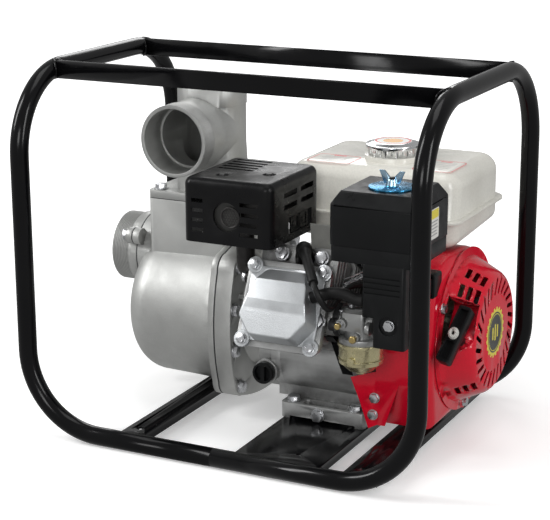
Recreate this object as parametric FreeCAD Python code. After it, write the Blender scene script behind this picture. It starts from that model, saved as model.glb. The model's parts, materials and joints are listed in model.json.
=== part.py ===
import FreeCAD, Part
import math
import os

# Engine-driven 3-inch water pump in a carry frame.
# X runs along the crankshaft, pump at -X and starter at +X. The rocker cover faces -Y.
# The origin is on the ground under the middle of the frame. Millimetres.

V = FreeCAD.Vector
X_AXIS = V(1, 0, 0)
Y_AXIS = V(0, 1, 0)
Z_AXIS = V(0, 0, 1)

# ---- carry frame
TUBE_R = 11.0
TUBE_WALL = 1.6
FRAME_X = 250.0
FRAME_Y = 180.0
FRAME_LOW = 11.0
FRAME_HIGH = 435.0
BEND_R = 95.0
TOP_RAIL_Y = 103.5
TOP_RAIL_Z = 432.8
PLATE_T = 3.0
DECK_Z = 22.0
BASE_HOLE_R = 4.5
BASE_HOLE_X = (-110.0, 181.0)
BASE_HOLE_Y = 158.0

# ---- engine datum
CRANK_Y = 50.0
CRANK_Z = 131.0
LEAN_DEG = 25.0
CYL_X = 68.5
BORE_R = 34.0
THROW = 27.0
PIN_R = 15.0
SHAFT_R = 12.5
NOSE_R = 10.0
RUN_GAP = 0.05
FOOT_X = (23.6, 133.3)
FOOT_Y = (-52.0, 126.0)
FOOT_TOP = 41.0
FOOT_BOLT_X = (36.0, 118.0)
FOOT_BOLT_Y = (-41.0, 117.0)
CASE_X = (22.0, 140.0)
CASE_R = 80.0
CASE_WALL = 8.0
DECK_N = 130.0
HEAD_TOP_N = 178.0
COVER_N = 184.5

# ---- half-speed camshaft, below the cylinder
CAM_DISTANCE = 60.0
CAM_N = 30.0
CRANK_TEETH = 20
CAM_TEETH = 40

# ---- pump
PORT_Y = 51.0
PUMP_Z = 117.0
POT_X = (-206.0, -68.5)
POT_R = (91.0, 94.0)
POT_WALL = 6.0
POT_CORNER = 34.0
FLANGE_X = (-76.0, -68.5)
GASKET_T = 1.5
REAR_X = (-67.0, -45.0)
ENGINE_FACE_X = -18.0
THREAD_R = 43.94
PORT_BORE_R = 38.5
SUCTION_Z = 182.0
SUCTION_X = (-245.0, -207.5)
EAR_ANGLE = 29.0
EAR_REACH = 54.0
DELIVERY_X = -120.0
DELIVERY_Z = 346.0
DELIVERY_FACE_Y = -49.0
NECK_X = (-185.0, -55.0)
NECK_Y = (0.0, 102.0)
NECK_TOP = 260.5
PRIMING_R = 26.0
IMPELLER_R = 62.0

# ---- exhaust, intake, tank
OUTLET_AT = (-6.0, 283.0)
GUARD = ((-63.0, -130.0, 250.0), (51.0, -1.0, 325.0))
CLEANER = ((127.0, -142.0, 251.0), (229.0, -40.0, 329.0))
CLEANER_SPLIT_Z = 269.0
DUCT_X = (167.0, 218.0)
DUCT_Y = (-142.0, -84.0)
DUCT_BOTTOM = 158.0
DUCT_STEP_Z = 192.0
CARB_Y = -103.0
CARB_Z = 172.0
TANK_X = (-3.0, 214.0)
TANK_Y = (11.0, 183.0)
TANK_Z = (231.5, 321.0)
TANK_SEAM_Z = 266.0
TANK_LIP = 7.0
CAP_AT = (110.0, 82.0)

# ---- fan housing and recoil starter
FAN_X = (150.0, 218.0)
FAN_R = 98.0
FAN_FRONT_Y = -58.0
RECOIL_X = (218.0, 256.5)
RECOIL_R = (98.0, 88.0, 73.0)
SHEET = 1.6
FLYWHEEL_R = 88.0
FLYWHEEL_X = (158.0, 186.0)
ROPE_R = 2.0
REEL_ROPE_R = 36.8
REEL_X = 238.0
PULL_SLOPE_DEG = 36.87
HANDLE_REACH = 78.6


# ------------------------------------------------------------------ geometry helpers
def box(x, y, z):
    """Box between pairs of coordinates."""
    return Part.makeBox(x[1] - x[0], y[1] - y[0], z[1] - z[0], V(x[0], y[0], z[0]))


def rod(axis, start, length, radius):
    return Part.makeCylinder(radius, length, V(*start), axis)


def ring(axis, start, length, outer, inner):
    return rod(axis, start, length, outer).cut(rod(axis, start, length, inner))


def cone(axis, start, length, radius_start, radius_end):
    return Part.makeCone(radius_start, radius_end, length, V(*start), axis)


def join(shapes):
    """One solid from overlapping solids, with coplanar faces merged where that stays sound."""
    whole = shapes[0]
    for shape in shapes[1:]:
        whole = whole.fuse(shape)
    if len(shapes) == 1:
        return whole
    merged = whole.copy().removeSplitter()
    sound = merged.isValid() and abs(merged.Volume - whole.Volume) < 1.0
    return merged if sound else whole


def cut_all(shape, tools):
    for tool in tools:
        shape = shape.cut(tool)
    return shape


def polygon_prism(points, push):
    """Closed polygon of vectors, extruded along the push vector."""
    wire = Part.makePolygon(points + [points[0]])
    return Part.Face(wire).extrude(push)


def edges_along(shape, axis):
    """Straight edges parallel to an axis."""
    found = []
    for edge in shape.Edges:
        if isinstance(edge.Curve, Part.Line) and abs(edge.Curve.Direction.dot(axis)) > 0.999:
            found.append(edge)
    return found


def rounded_box(x, y, z, radius, axis):
    """Box whose edges along one axis are rounded."""
    shape = box(x, y, z)
    return shape.makeFillet(radius, edges_along(shape, axis))


def soft_box(x, y, z, radius, top_radius):
    """Box with rounded upright edges and a smaller round around its top face."""
    shape = rounded_box(x, y, z, radius, Z_AXIS)
    rim = [e for e in shape.Edges if abs(e.BoundBox.ZMin - z[1]) < 1e-3 and e.BoundBox.ZLength < 1e-3]
    return shape.makeFillet(top_radius, rim)


def turned(profile, axis_y, axis_z):
    """Solid of revolution about an axis along X, from (x, radius) points starting and ending on the axis."""
    wire = Part.makePolygon([V(x, 0, r) for x, r in profile + [profile[0]]])
    solid = Part.Face(wire).revolve(V(0, 0, 0), X_AXIS, 360)
    solid.translate(V(0, axis_y, axis_z))
    return solid


def bent_path(points, radius):
    """Straight runs joined by tangent arcs of one radius."""
    edges = []
    start = points[0]
    for before, corner, after in zip(points, points[1:], points[2:]):
        back = (before - corner).normalize()
        ahead = (after - corner).normalize()
        half = back.getAngle(ahead) / 2
        first = corner + back * (radius / math.tan(half))
        last = corner + ahead * (radius / math.tan(half))
        middle = corner + (back + ahead).normalize() * (radius / math.sin(half) - radius)
        edges.append(Part.LineSegment(start, first).toShape())
        edges.append(Part.Arc(first, middle, last).toShape())
        start = last
    edges.append(Part.LineSegment(start, points[-1]).toShape())
    return Part.Wire(edges)


def route_path(points):
    """Cord route whose arcs are as large as its runs allow."""
    edges = []
    start = points[0]
    for before, corner, after in zip(points, points[1:], points[2:]):
        reach = 0.45 * min((before - corner).Length, (after - corner).Length)
        back = (before - corner).normalize()
        ahead = (after - corner).normalize()
        half = back.getAngle(ahead) / 2
        radius = reach * math.tan(half)
        middle = corner + (back + ahead).normalize() * (radius / math.sin(half) - radius)
        first = corner + back * reach
        last = corner + ahead * reach
        edges.append(Part.LineSegment(start, first).toShape())
        edges.append(Part.Arc(first, middle, last).toShape())
        start = last
    edges.append(Part.LineSegment(start, points[-1]).toShape())
    return Part.Wire(edges)


def swept(path, radius):
    """Round bar along a path."""
    edge = path.Edges[0]
    start = edge.valueAt(edge.FirstParameter)
    tangent = edge.tangentAt(edge.FirstParameter)
    circle = Part.Wire([Part.makeCircle(radius, start, tangent)])
    return path.makePipeShell([circle], True, False)


def hexagon(axis, start, length, across_flats):
    """Hexagonal prism along an axis."""
    corner = across_flats / math.sqrt(3)
    side = V(0, 0, 1) if abs(axis.z) < 0.9 else V(1, 0, 0)
    first = axis.cross(side).normalize()
    second = axis.cross(first)
    base = V(*start)
    points = []
    for step in range(6):
        angle = math.radians(60 * step)
        points.append(base + first * (corner * math.cos(angle)) + second * (corner * math.sin(angle)))
    return polygon_prism(points, axis * length)


def flange_bolt(axis, seat, diameter, shank):
    """Hex flange bolt: the head stands along the axis from its seat, the shank goes the other way."""
    seat = V(*seat)
    collar = Part.makeCylinder(1.05 * diameter, 0.18 * diameter, seat, axis)
    head = hexagon(axis, tuple(seat + axis * (0.15 * diameter)), 0.62 * diameter, 1.6 * diameter)
    stem = Part.makeCylinder(diameter / 2, shank, seat, axis * -1)
    return join([collar, head, stem])


def bolt_hole(axis, seat, diameter, shank):
    """Clearance for the shank of a flange bolt."""
    return Part.makeCylinder(diameter / 2 + 0.2, shank + 0.5, V(*seat), axis * -1)


def lean(shape):
    """Place a shape drawn square to the cylinder: its Z becomes the bore axis, from the crank towards the head."""
    shape = shape.copy()
    shape.rotate(V(0, 0, 0), X_AXIS, 90 - LEAN_DEG)
    shape.translate(V(0, CRANK_Y, CRANK_Z))
    return shape


def lean_point(x, u, n):
    """World point from cylinder coordinates: u across the bore, n along it."""
    sine = math.sin(math.radians(LEAN_DEG))
    cosine = math.cos(math.radians(LEAN_DEG))
    return (x, CRANK_Y - cosine * n + sine * u, CRANK_Z + sine * n + cosine * u)


def lean_direction(x, u, n):
    end = V(*lean_point(x, u, n))
    return (end - V(*lean_point(0, 0, 0))).normalize()


def crank_rod(x_start, x_end, radius):
    return rod(X_AXIS, (x_start, CRANK_Y, CRANK_Z), x_end - x_start, radius)


def crank_ring(x_start, x_end, outer, inner):
    return ring(X_AXIS, (x_start, CRANK_Y, CRANK_Z), x_end - x_start, outer, inner)


# ------------------------------------------------------------------ carry frame
def frame_path(side):
    x = side * FRAME_X
    return bent_path([V(0, -FRAME_Y, FRAME_LOW), V(x, -FRAME_Y, FRAME_LOW), V(x, -FRAME_Y, FRAME_HIGH),
                      V(x, FRAME_Y, FRAME_HIGH), V(x, FRAME_Y, FRAME_LOW), V(0, FRAME_Y, FRAME_LOW)], BEND_R)


def frame_tube(side):
    path = frame_path(side)
    return swept(path, TUBE_R).cut(swept(path, TUBE_R - TUBE_WALL))


FRAME_BARS = [swept(frame_path(side), TUBE_R) for side in (-1, 1)]


def top_rails():
    """Two straight tubes whose ends are notched to fit against the bent tube."""
    rails = []
    for y in (-TOP_RAIL_Y, TOP_RAIL_Y):
        rail = ring(X_AXIS, (-FRAME_X, y, TOP_RAIL_Z), 2 * FRAME_X, TUBE_R, TUBE_R - TUBE_WALL)
        rails.append(max(cut_all(rail, FRAME_BARS).Solids, key=lambda s: s.Volume))
    return Part.makeCompound(rails)


def cross_member(x, top, lip, holes):
    """Pressed steel member with downturned lips, its ends notched to the bottom rails."""
    span = (-FRAME_Y, FRAME_Y)
    shape = join([box(x, span, (top - PLATE_T, top)),
                  box((x[0], x[0] + PLATE_T), span, (top - lip, top - PLATE_T)),
                  box((x[1] - PLATE_T, x[1]), span, (top - lip, top - PLATE_T))])
    tools = FRAME_BARS + [rod(Z_AXIS, (hx, hy, top - 2 * PLATE_T), 3 * PLATE_T, r) for hx, hy, r in holes]
    return max(cut_all(shape, tools).Solids, key=lambda s: s.Volume)


def base_members():
    corner = [(BASE_HOLE_Y, BASE_HOLE_R), (-BASE_HOLE_Y, BASE_HOLE_R)]
    left = cross_member((-125.0, -93.0), DECK_Z - 1, 10.0, [(BASE_HOLE_X[0], y, r) for y, r in corner])
    seats = [(x, y, 4.3) for x in FOOT_BOLT_X for y in FOOT_BOLT_Y]
    centre = cross_member((28.0, 135.0), DECK_Z, 10.0, seats + [(96.0, -153.6, 2.5), (96.0, 153.6, 2.5)])
    right = cross_member((162.0, 204.0), DECK_Z - 1, 10.0, [(BASE_HOLE_X[1], y, r) for y, r in corner])
    return left, centre, right


# ------------------------------------------------------------------ pump
def flange_outline(x, thickness, grow=0.0):
    """Rounded square plate with bowed sides, about the pump axis."""
    reach = 101.0 + grow
    side = reach - 11.0
    run = 70.0
    corner = 84.0 + grow * 0.7
    spots = []
    for quarter in range(4):
        turn = math.radians(90 * quarter)
        for y, z in ((-side, -run), (-reach, 0), (-side, run), (-corner, corner)):
            spots.append(V(x, y * math.cos(turn) + z * math.sin(turn) + PORT_Y,
                           -y * math.sin(turn) + z * math.cos(turn) + PUMP_Z))
    spots.append(spots[0])
    arcs = [Part.Arc(*spots[i:i + 3]).toShape() for i in range(0, 16, 2)]
    return Part.Face(Part.Wire(arcs)).extrude(V(thickness, 0, 0))


def pot(offset, x_end):
    """Drafted round pot with a large rounded rim, moved inwards by an offset."""
    x0 = POT_X[0] + offset
    r0 = POT_R[0] - offset
    r1 = POT_R[1] - offset
    corner = POT_CORNER - offset
    diagonal = corner * (1 - math.cos(math.radians(45)))
    rim = Part.Arc(V(x0, 0, r0 - corner), V(x0 + diagonal, 0, r0 - diagonal), V(x0 + corner, 0, r0)).toShape()
    lines = Part.makePolygon([V(x0 + corner, 0, r0), V(x_end, 0, r1), V(x_end, 0, 0), V(x0, 0, 0),
                              V(x0, 0, r0 - corner)])
    solid = Part.Face(Part.Wire([rim] + lines.Edges)).revolve(V(0, 0, 0), X_AXIS, 360)
    solid.translate(V(0, PORT_Y, PUMP_Z))
    return solid


def ear_plate(x, thickness, radius):
    """Round flange with two opposite bolt ears, turned off level."""
    disc = rod(X_AXIS, (x, PORT_Y, SUCTION_Z), thickness, radius)
    ears = [rod(X_AXIS, (x, y, z), thickness, 10.5) for y, z in ear_centres()]
    tie = box((x, x + thickness), (-EAR_REACH, EAR_REACH), (-9.0, 9.0))
    tie.rotate(V(0, 0, 0), X_AXIS, -EAR_ANGLE)
    tie.translate(V(0, PORT_Y, SUCTION_Z))
    return join([disc, tie] + ears)


def ear_centres():
    turn = math.radians(EAR_ANGLE)
    dy = EAR_REACH * math.cos(turn)
    dz = EAR_REACH * math.sin(turn)
    return [(PORT_Y - dy, SUCTION_Z + dz), (PORT_Y + dy, SUCTION_Z - dz)]


CASING_BOLTS = [(y, z) for y in (PORT_Y - 90, PORT_Y + 90) for z in (PUMP_Z - 26, PUMP_Z + 26)]
CASING_BOLTS += [(PORT_Y + sy * 76, PUMP_Z + sz * 76) for sy in (-1, 1) for sz in (-1, 1)]
NECK_BOLTS = [(x, y) for x in (NECK_X[0] + 12, NECK_X[1] - 12) for y in (NECK_Y[0] + 12, NECK_Y[1] - 12)]
ELBOW_SEAT = 271.0
EAR_SEAT = SUCTION_X[1] - 9.0


def pump_casing():
    neck_back = FLANGE_X[0]
    body = join([pot(0, FLANGE_X[1]),
                 flange_outline(FLANGE_X[0], FLANGE_X[1] - FLANGE_X[0]),
                 rounded_box((NECK_X[0], neck_back), NECK_Y, (150.0, NECK_TOP - 6), 6.0, Z_AXIS),
                 rounded_box(NECK_X, NECK_Y, (NECK_TOP - 11, NECK_TOP), 6.0, Z_AXIS),
                 rod(X_AXIS, (POT_X[0], PORT_Y, SUCTION_Z), 40.0, 47.0),
                 ear_plate(POT_X[0], 9.0, 47.0),
                 rod(X_AXIS, (POT_X[0] - 5, PORT_Y, 52.0), 14.0, 13.0)])
    inside = pot(POT_WALL, FLANGE_X[1])
    divider = (-153.0, -148.0)
    neck_inside_y = (NECK_Y[0] + 6, NECK_Y[1] - 6)
    suction_room = join([inside.common(box((-300, divider[0]), (-200, 300), (0, 300))),
                         box((NECK_X[0] + 6, divider[0]), neck_inside_y, (160.0, 226.0))])
    delivery_room = join([inside.common(box((divider[1], 0), (-200, 300), (0, 300))),
                          box((divider[1], neck_back - 6), neck_inside_y, (160.0, 250.0)),
                          box((NECK_X[0] + 6, neck_back - 6), neck_inside_y, (231.0, 250.0)),
                          rod(Z_AXIS, (DELIVERY_X, PORT_Y, 245.0), 20.0, 40.0)])
    tools = [suction_room, delivery_room,
             rod(X_AXIS, (POT_X[0] - 1, PORT_Y, SUCTION_Z), 45.0, 41.0),
             crank_rod(divider[0] - 1, divider[1] + 1, 27.0),
             rod(X_AXIS, (POT_X[0] - 6, PORT_Y, 52.0), 20.0, 8.2)]
    tools += [bolt_hole(X_AXIS, (REAR_X[1], y, z), 8.0, 30.0) for y, z in CASING_BOLTS]
    tools += [bolt_hole(Z_AXIS, (x, y, ELBOW_SEAT), 8.0, 20.0) for x, y in NECK_BOLTS]
    tools += [bolt_hole(X_AXIS * -1, (EAR_SEAT, y, z), 8.0, 17.0) for y, z in ear_centres()]
    return cut_all(body, tools)


def rear_cover():
    """Casing back plate that carries the seal and bolts to the engine."""
    hub = cone(X_AXIS, (REAR_X[1], PORT_Y, PUMP_Z + 8), ENGINE_FACE_X - REAR_X[1], 74.0, 60.0)
    shapes = [flange_outline(REAR_X[0], REAR_X[1] - REAR_X[0]), hub]
    for step in range(8):
        rib = polygon_prism([V(REAR_X[1], 3, 55), V(REAR_X[1], 3, 84), V(ENGINE_FACE_X - 6, 3, 62),
                             V(ENGINE_FACE_X - 6, 3, 55)], V(0, -6, 0))
        rib.rotate(V(0, 0, 0), X_AXIS, 45 * step + 22.5)
        rib.translate(V(0, PORT_Y, PUMP_Z + 8))
        shapes.append(rib)
    body = join(shapes)
    hollow = cone(X_AXIS, (REAR_X[0] + 12, PORT_Y, PUMP_Z + 8), ENGINE_FACE_X - REAR_X[0] - 12, 68.0, 52.0)
    hollow = hollow.cut(crank_rod(REAR_X[0], ENGINE_FACE_X, 27.0))
    tools = [hollow,
             crank_rod(REAR_X[0] - 1, REAR_X[0] + 10, 20.0),
             crank_rod(REAR_X[0], ENGINE_FACE_X + 1, SHAFT_R + 1.0)]
    tools += [bolt_hole(X_AXIS, (REAR_X[1], y, z), 8.0, 30.0) for y, z in CASING_BOLTS]
    return cut_all(body, tools)


def pump_gaskets():
    """Flange gasket, neck gasket and suction gasket."""
    flange = flange_outline(REAR_X[0] - GASKET_T, GASKET_T, 0.0)
    flange = flange.cut(rod(X_AXIS, (REAR_X[0] - 3, PORT_Y, PUMP_Z), 5.0, POT_R[1] - 7))
    flange = cut_all(flange, [bolt_hole(X_AXIS, (REAR_X[1], y, z), 8.0, 30.0) for y, z in CASING_BOLTS])
    neck = rounded_box(NECK_X, NECK_Y, (NECK_TOP, NECK_TOP + 1.0), 6.0, Z_AXIS)
    neck = cut_all(neck, [rod(Z_AXIS, (DELIVERY_X, PORT_Y, NECK_TOP - 1), 3.0, 40.0)]
                   + [bolt_hole(Z_AXIS, (x, y, ELBOW_SEAT), 8.0, 20.0) for x, y in NECK_BOLTS])
    suction = ear_plate(SUCTION_X[1], GASKET_T, 47.0)
    suction = cut_all(suction, [rod(X_AXIS, (SUCTION_X[1] - 1, PORT_Y, SUCTION_Z), 4.0, 41.0)]
                      + [bolt_hole(X_AXIS * -1, (EAR_SEAT, y, z), 8.0, 17.0) for y, z in ear_centres()])
    return Part.makeCompound([flange, neck, suction])


def suction_port():
    x0, x1 = SUCTION_X
    body = join([rod(X_AXIS, (x0, PORT_Y, SUCTION_Z), 24.0, THREAD_R),
                 rod(X_AXIS, (x0 + 24, PORT_Y, SUCTION_Z), x1 - x0 - 24, 45.5),
                 ear_plate(EAR_SEAT, 9.0, 47.0)])
    tools = [rod(X_AXIS, (x0 - 1, PORT_Y, SUCTION_Z), 30.0, PORT_BORE_R),
             rod(X_AXIS, (x0 + 28, PORT_Y, SUCTION_Z), 20.0, 34.0)]
    tools += [bolt_hole(X_AXIS * -1, (EAR_SEAT, y, z), 8.0, 17.0) for y, z in ear_centres()]
    return cut_all(body, tools)


FLAP_X = POT_X[0] + 1.0
FLAP_PIN_Z = SUCTION_Z + 34.0


def check_valve_flap():
    """Rubber disc with a steel weight, hung from a pin above the suction hole."""
    disc = rod(X_AXIS, (FLAP_X, PORT_Y, SUCTION_Z), 4.0, 36.5)
    weight = rod(X_AXIS, (FLAP_X + 4, PORT_Y, SUCTION_Z), 4.0, 22.0)
    tab = box((FLAP_X, FLAP_X + 4), (PORT_Y - 12, PORT_Y + 12), (SUCTION_Z + 30, FLAP_PIN_Z))
    knuckle = rod(Y_AXIS, (FLAP_X + 2, PORT_Y - 11, FLAP_PIN_Z), 22.0, 2.6)
    return join([disc, weight, tab, knuckle])


def discharge_elbow():
    low = NECK_TOP + 1.0
    body = join([rounded_box(NECK_X, NECK_Y, (low, ELBOW_SEAT), 6.0, Z_AXIS),
                 cone(Z_AXIS, (DELIVERY_X, PORT_Y, ELBOW_SEAT - 1), 60.0, 45.0, 42.0),
                 rod(Z_AXIS, (DELIVERY_X, PORT_Y, 329.0), 50.0, 42.0),
                 rod(Z_AXIS, (DELIVERY_X, PORT_Y, 378.0), 22.0, 43.0),
                 rod(Y_AXIS, (DELIVERY_X, DELIVERY_FACE_Y, DELIVERY_Z), 24.0, THREAD_R),
                 cone(Y_AXIS, (DELIVERY_X, DELIVERY_FACE_Y + 24, DELIVERY_Z), 30.0, 41.0, 44.0),
                 rod(Y_AXIS, (DELIVERY_X, 5.0, DELIVERY_Z), PORT_Y - 5, 41.5)])
    tools = [rod(Z_AXIS, (DELIVERY_X, PORT_Y, low - 1), DELIVERY_Z - low + 20, 37.0),
             rod(Y_AXIS, (DELIVERY_X, DELIVERY_FACE_Y - 1, DELIVERY_Z), PORT_Y - DELIVERY_FACE_Y, 37.0),
             rod(Y_AXIS, (DELIVERY_X, DELIVERY_FACE_Y - 1, DELIVERY_Z), 40.0, PORT_BORE_R + 1),
             rod(Z_AXIS, (DELIVERY_X, PORT_Y, DELIVERY_Z), 70.0, PRIMING_R)]
    tools += [bolt_hole(Z_AXIS, (x, y, ELBOW_SEAT), 8.0, 20.0) for x, y in NECK_BOLTS]
    return cut_all(body, tools)


def priming_cap():
    """Screw-in plug with a grip bar and a sealing skirt."""
    top = 400.0
    plug = rod(Z_AXIS, (DELIVERY_X, PORT_Y, top - 14), 14.0, PRIMING_R - RUN_GAP)
    lid = rod(Z_AXIS, (DELIVERY_X, PORT_Y, top + 0.2), 5.0, 33.0)
    neck = rod(Z_AXIS, (DELIVERY_X, PORT_Y, top - 0.5), 1.0, PRIMING_R - RUN_GAP)
    bar = box((DELIVERY_X - 25, DELIVERY_X + 25), (PORT_Y - 5, PORT_Y + 5), (top + 5, top + 14))
    bar = bar.makeFillet(3.0, edges_along(bar, Z_AXIS))
    return join([plug, neck, lid, bar])


VOLUTE_X = (-146.0, REAR_X[0])


def volute():
    """Snail-shaped inner casing round the impeller, with its inlet spigot and upward outlet."""
    x0 = -124.0
    spout_x = (x0, REAR_X[0])
    body = join([crank_rod(x0, REAR_X[0], 70.5),
                 crank_rod(-155.0, x0, 26.8),
                 cone(X_AXIS, (-136.0, CRANK_Y, CRANK_Z), 12.0, 27.0, 50.0),
                 box(spout_x, (CRANK_Y + 20, CRANK_Y + 56), (CRANK_Z, CRANK_Z + 50))])
    tools = [crank_rod(x0 + 5, REAR_X[0] + 1, 66.0),
             crank_rod(-156.0, x0 + 6, 22.0),
             box((x0 + 5, REAR_X[0] + 1), (CRANK_Y + 26, CRANK_Y + 50), (CRANK_Z, CRANK_Z + 51))]
    return cut_all(body, tools)


def impeller():
    """Back plate, domed hub and four swept-back vanes."""
    shapes = [crank_rod(-80.0, -76.0, IMPELLER_R),
              cone(X_AXIS, (-112.0, CRANK_Y, CRANK_Z), 33.0, 11.0, 20.0)]
    for quarter in range(4):
        outer = rod(X_AXIS, (-106.0, 0, 27.0), 27.0, 38.0).cut(rod(X_AXIS, (-107.0, 0, 27.0), 29.0, 33.0))
        vane = outer.common(rod(X_AXIS, (-107.0, 0, 0), 30.0, IMPELLER_R - 1))
        vane = vane.common(box((-107.0, -76.0), (0, 80), (-20, 80)))
        vane.rotate(V(0, 0, 0), X_AXIS, 90 * quarter)
        vane.translate(V(0, CRANK_Y, CRANK_Z))
        shapes.append(vane)
    return join(shapes).cut(crank_rod(-105.0, -75.0, NOSE_R))


def shaft_seal():
    """Fixed seat ring in the cover and the sprung face behind the impeller."""
    seat = crank_ring(REAR_X[0] - 3, REAR_X[0] + 10, 20.0, NOSE_R + RUN_GAP)
    face = crank_ring(REAR_X[0] - 7.5, REAR_X[0] - 3, 16.0, NOSE_R + RUN_GAP)
    return Part.makeCompound([seat, face])


def pump_bolts():
    bolts = [flange_bolt(X_AXIS, (REAR_X[1], y, z), 8.0, 29.0) for y, z in CASING_BOLTS]
    bolts += [flange_bolt(Z_AXIS, (x, y, ELBOW_SEAT), 8.0, 19.0) for x, y in NECK_BOLTS]
    bolts += [flange_bolt(X_AXIS * -1, (EAR_SEAT, y, z), 8.0, 16.0) for y, z in ear_centres()]
    bolts.append(flange_bolt(X_AXIS * -1, (POT_X[0] - 5, PORT_Y, 52.0), 16.0, 13.0))
    return Part.makeCompound(bolts)


# ------------------------------------------------------------------ crankcase and cylinder
def cam_centre():
    """World Y, Z of the camshaft."""
    u = -math.sqrt(CAM_DISTANCE ** 2 - CAM_N ** 2)
    point = lean_point(0, u, CAM_N)
    return point[1], point[2]


CAM_Y, CAM_Z = cam_centre()


def case_profile(x, thickness, shrink):
    """Outline of the crankcase across the crank: crank barrel, cam bulge and sump."""
    return join([crank_rod(x, x + thickness, CASE_R - shrink),
                 rod(X_AXIS, (x, CAM_Y, CAM_Z), thickness, 50.0 - shrink),
                 box((x, x + thickness), (-27.0 + shrink, 106.0 - shrink), (FOOT_TOP + shrink, CRANK_Z))])


def foot_bolt_seats():
    return [(x, y, FOOT_TOP) for x in FOOT_BOLT_X for y in FOOT_BOLT_Y]


HEAD_BOLTS = [(49.0, 36.0), (99.0, 36.0), (28.5, -36.0), (108.5, -36.0)]
COVER_BOLTS = [(65.5 + sx * 43, -25.0 + su * 43) for sx in (-1, 1) for su in (-1, 1)]
SIDE_BOLTS = [(CRANK_Y + 74 * math.cos(a), CRANK_Z + 74 * math.sin(a))
              for a in [math.radians(d) for d in (20, 60, 100, 140)]] + [(104.0, 60.0)]


def cooling_fin(n, thickness, grow):
    """One fin across the bore, with rounded corners."""
    x = (CYL_X - 44 - grow, CYL_X + 44 + grow)
    u = (-44 - grow, 44 + grow)
    return rounded_box(x, u, (n, n + thickness), 9.0, Z_AXIS)


def crankcase():
    """Crankcase with its foot and its finned cylinder in one casting."""
    foot = rounded_box(FOOT_X, FOOT_Y, (DECK_Z, FOOT_TOP), 6.0, Z_AXIS)
    pocket = rounded_box((50.0, 107.0), (FOOT_Y[0] + 5, -32.0), (FOOT_TOP - 9, FOOT_TOP + 1), 4.0, Z_AXIS)
    under = box((FOOT_X[0] + 12, FOOT_X[1] - 12), (FOOT_Y[0] - 1, FOOT_Y[1] + 1), (DECK_Z - 1, DECK_Z + 3))
    foot = foot.cut(join([pocket, under]))
    barrel = rod(Z_AXIS, (CYL_X, 0, 60.0), DECK_N - 60, BORE_R + 8)
    fins = [cooling_fin(n, 2.6, 2.0) for n in (88.0, 96.0, 104.0, 112.0)]
    deck = cooling_fin(DECK_N - 8, 8.0, 0.0)
    cylinder = lean(join([barrel, deck] + fins))
    pushrod_tunnel = lean(box((CYL_X - 22, CYL_X + 22), (-58.0, -34.0), (55.0, DECK_N)))
    body = join([case_profile(CASE_X[0], CASE_X[1] - CASE_X[0], 0.0), foot, cylinder, pushrod_tunnel])
    right_wall = CASE_X[1] - 12
    tools = [case_profile(CASE_X[0] - 1, right_wall - CASE_X[0] + 1, CASE_WALL),
             lean(rod(Z_AXIS, (CYL_X, 0, 40.0), DECK_N - 39, BORE_R + RUN_GAP)),
             lean(box((CYL_X - 17, CYL_X + 17), (-53.0, -41.0), (50.0, DECK_N + 1))),
             crank_rod(right_wall - 1, CASE_X[1] + 1, SHAFT_R + 1.5),
             crank_rod(right_wall - 1, CASE_X[1] - 3, 26.0),
             rod(X_AXIS, (right_wall - 1, CAM_Y, CAM_Z), 8.0, 8.0 + RUN_GAP)]
    tools += [bolt_hole(Z_AXIS, seat, 8.0, 30.0) for seat in foot_bolt_seats()]
    tools += [bolt_hole(lean_direction(0, 0, 1), lean_point(x, u, HEAD_TOP_N), 8.0, 70.0) for x, u in HEAD_BOLTS]
    tools += [bolt_hole(X_AXIS * -1, (ENGINE_FACE_X + 12, y, z), 6.0, 42.0) for y, z in SIDE_BOLTS]
    tools.append(bolt_hole(Y_AXIS * -1, (73.5, FOOT_Y[0], 31.0), 8.0, 16.0))
    return max(cut_all(body, tools).Solids, key=lambda s: s.Volume)


FILLER_AT = (4.0, -52.0, 76.0)


def side_cover():
    """Crankcase cover on the pump side, with the oil filler boss."""
    x0 = ENGINE_FACE_X
    x1 = CASE_X[0]
    rim = case_profile(x1 - 12, 12.0, 0.0)
    face = crank_rod(x0, x1, 62.0)
    bulge = rod(X_AXIS, (x0 + 10, CAM_Y, CAM_Z), x1 - x0 - 10, 46.0)
    sump = box((x0 + 14, x1), (-22.0, 104.0), (50.0, CRANK_Z))
    boss = rod(Y_AXIS, FILLER_AT, 30.0, 15.0)
    body = join([rim, face, bulge, sump, boss])
    room = join([case_profile(x1 - 10, 11.0, CASE_WALL),
                 crank_rod(x0 + 14, x1, 54.0),
                 rod(X_AXIS, (x0 + 16, CAM_Y, CAM_Z), x1 - x0, 41.5)])
    tools = [room,
             crank_rod(x0 - 1, x1, SHAFT_R + 1.5),
             crank_rod(x0 + 4, x1, 26.0),
             rod(X_AXIS, (x0 + 11, CAM_Y, CAM_Z), 8.0, 8.0 + RUN_GAP),
             rod(Y_AXIS, (FILLER_AT[0], FILLER_AT[1] - 1, FILLER_AT[2]), 32.0, 10.0)]
    tools += [bolt_hole(X_AXIS * -1, (x0 + 12, y, z), 6.0, 42.0) for y, z in SIDE_BOLTS]
    return max(cut_all(body, tools).Solids, key=lambda s: s.Volume)


def oil_filler_cap():
    x, y, z = FILLER_AT
    grip = rod(Y_AXIS, (x, y - 9.5, z), 9.3, 13.0)
    slots = [box((x - 11.0, x - 2.5), (y - 10, y - 3.5), (z - 9, z + 9)),
             box((x + 2.5, x + 11.0), (y - 10, y - 3.5), (z - 9, z + 9))]
    slots = [slot.common(rod(Y_AXIS, (x, y - 11, z), 12.0, 10.5)) for slot in slots]
    plug = rod(Y_AXIS, (x, y - 1, z), 16.0, 10.0 - RUN_GAP)
    return join([cut_all(grip, slots), plug])


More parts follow.
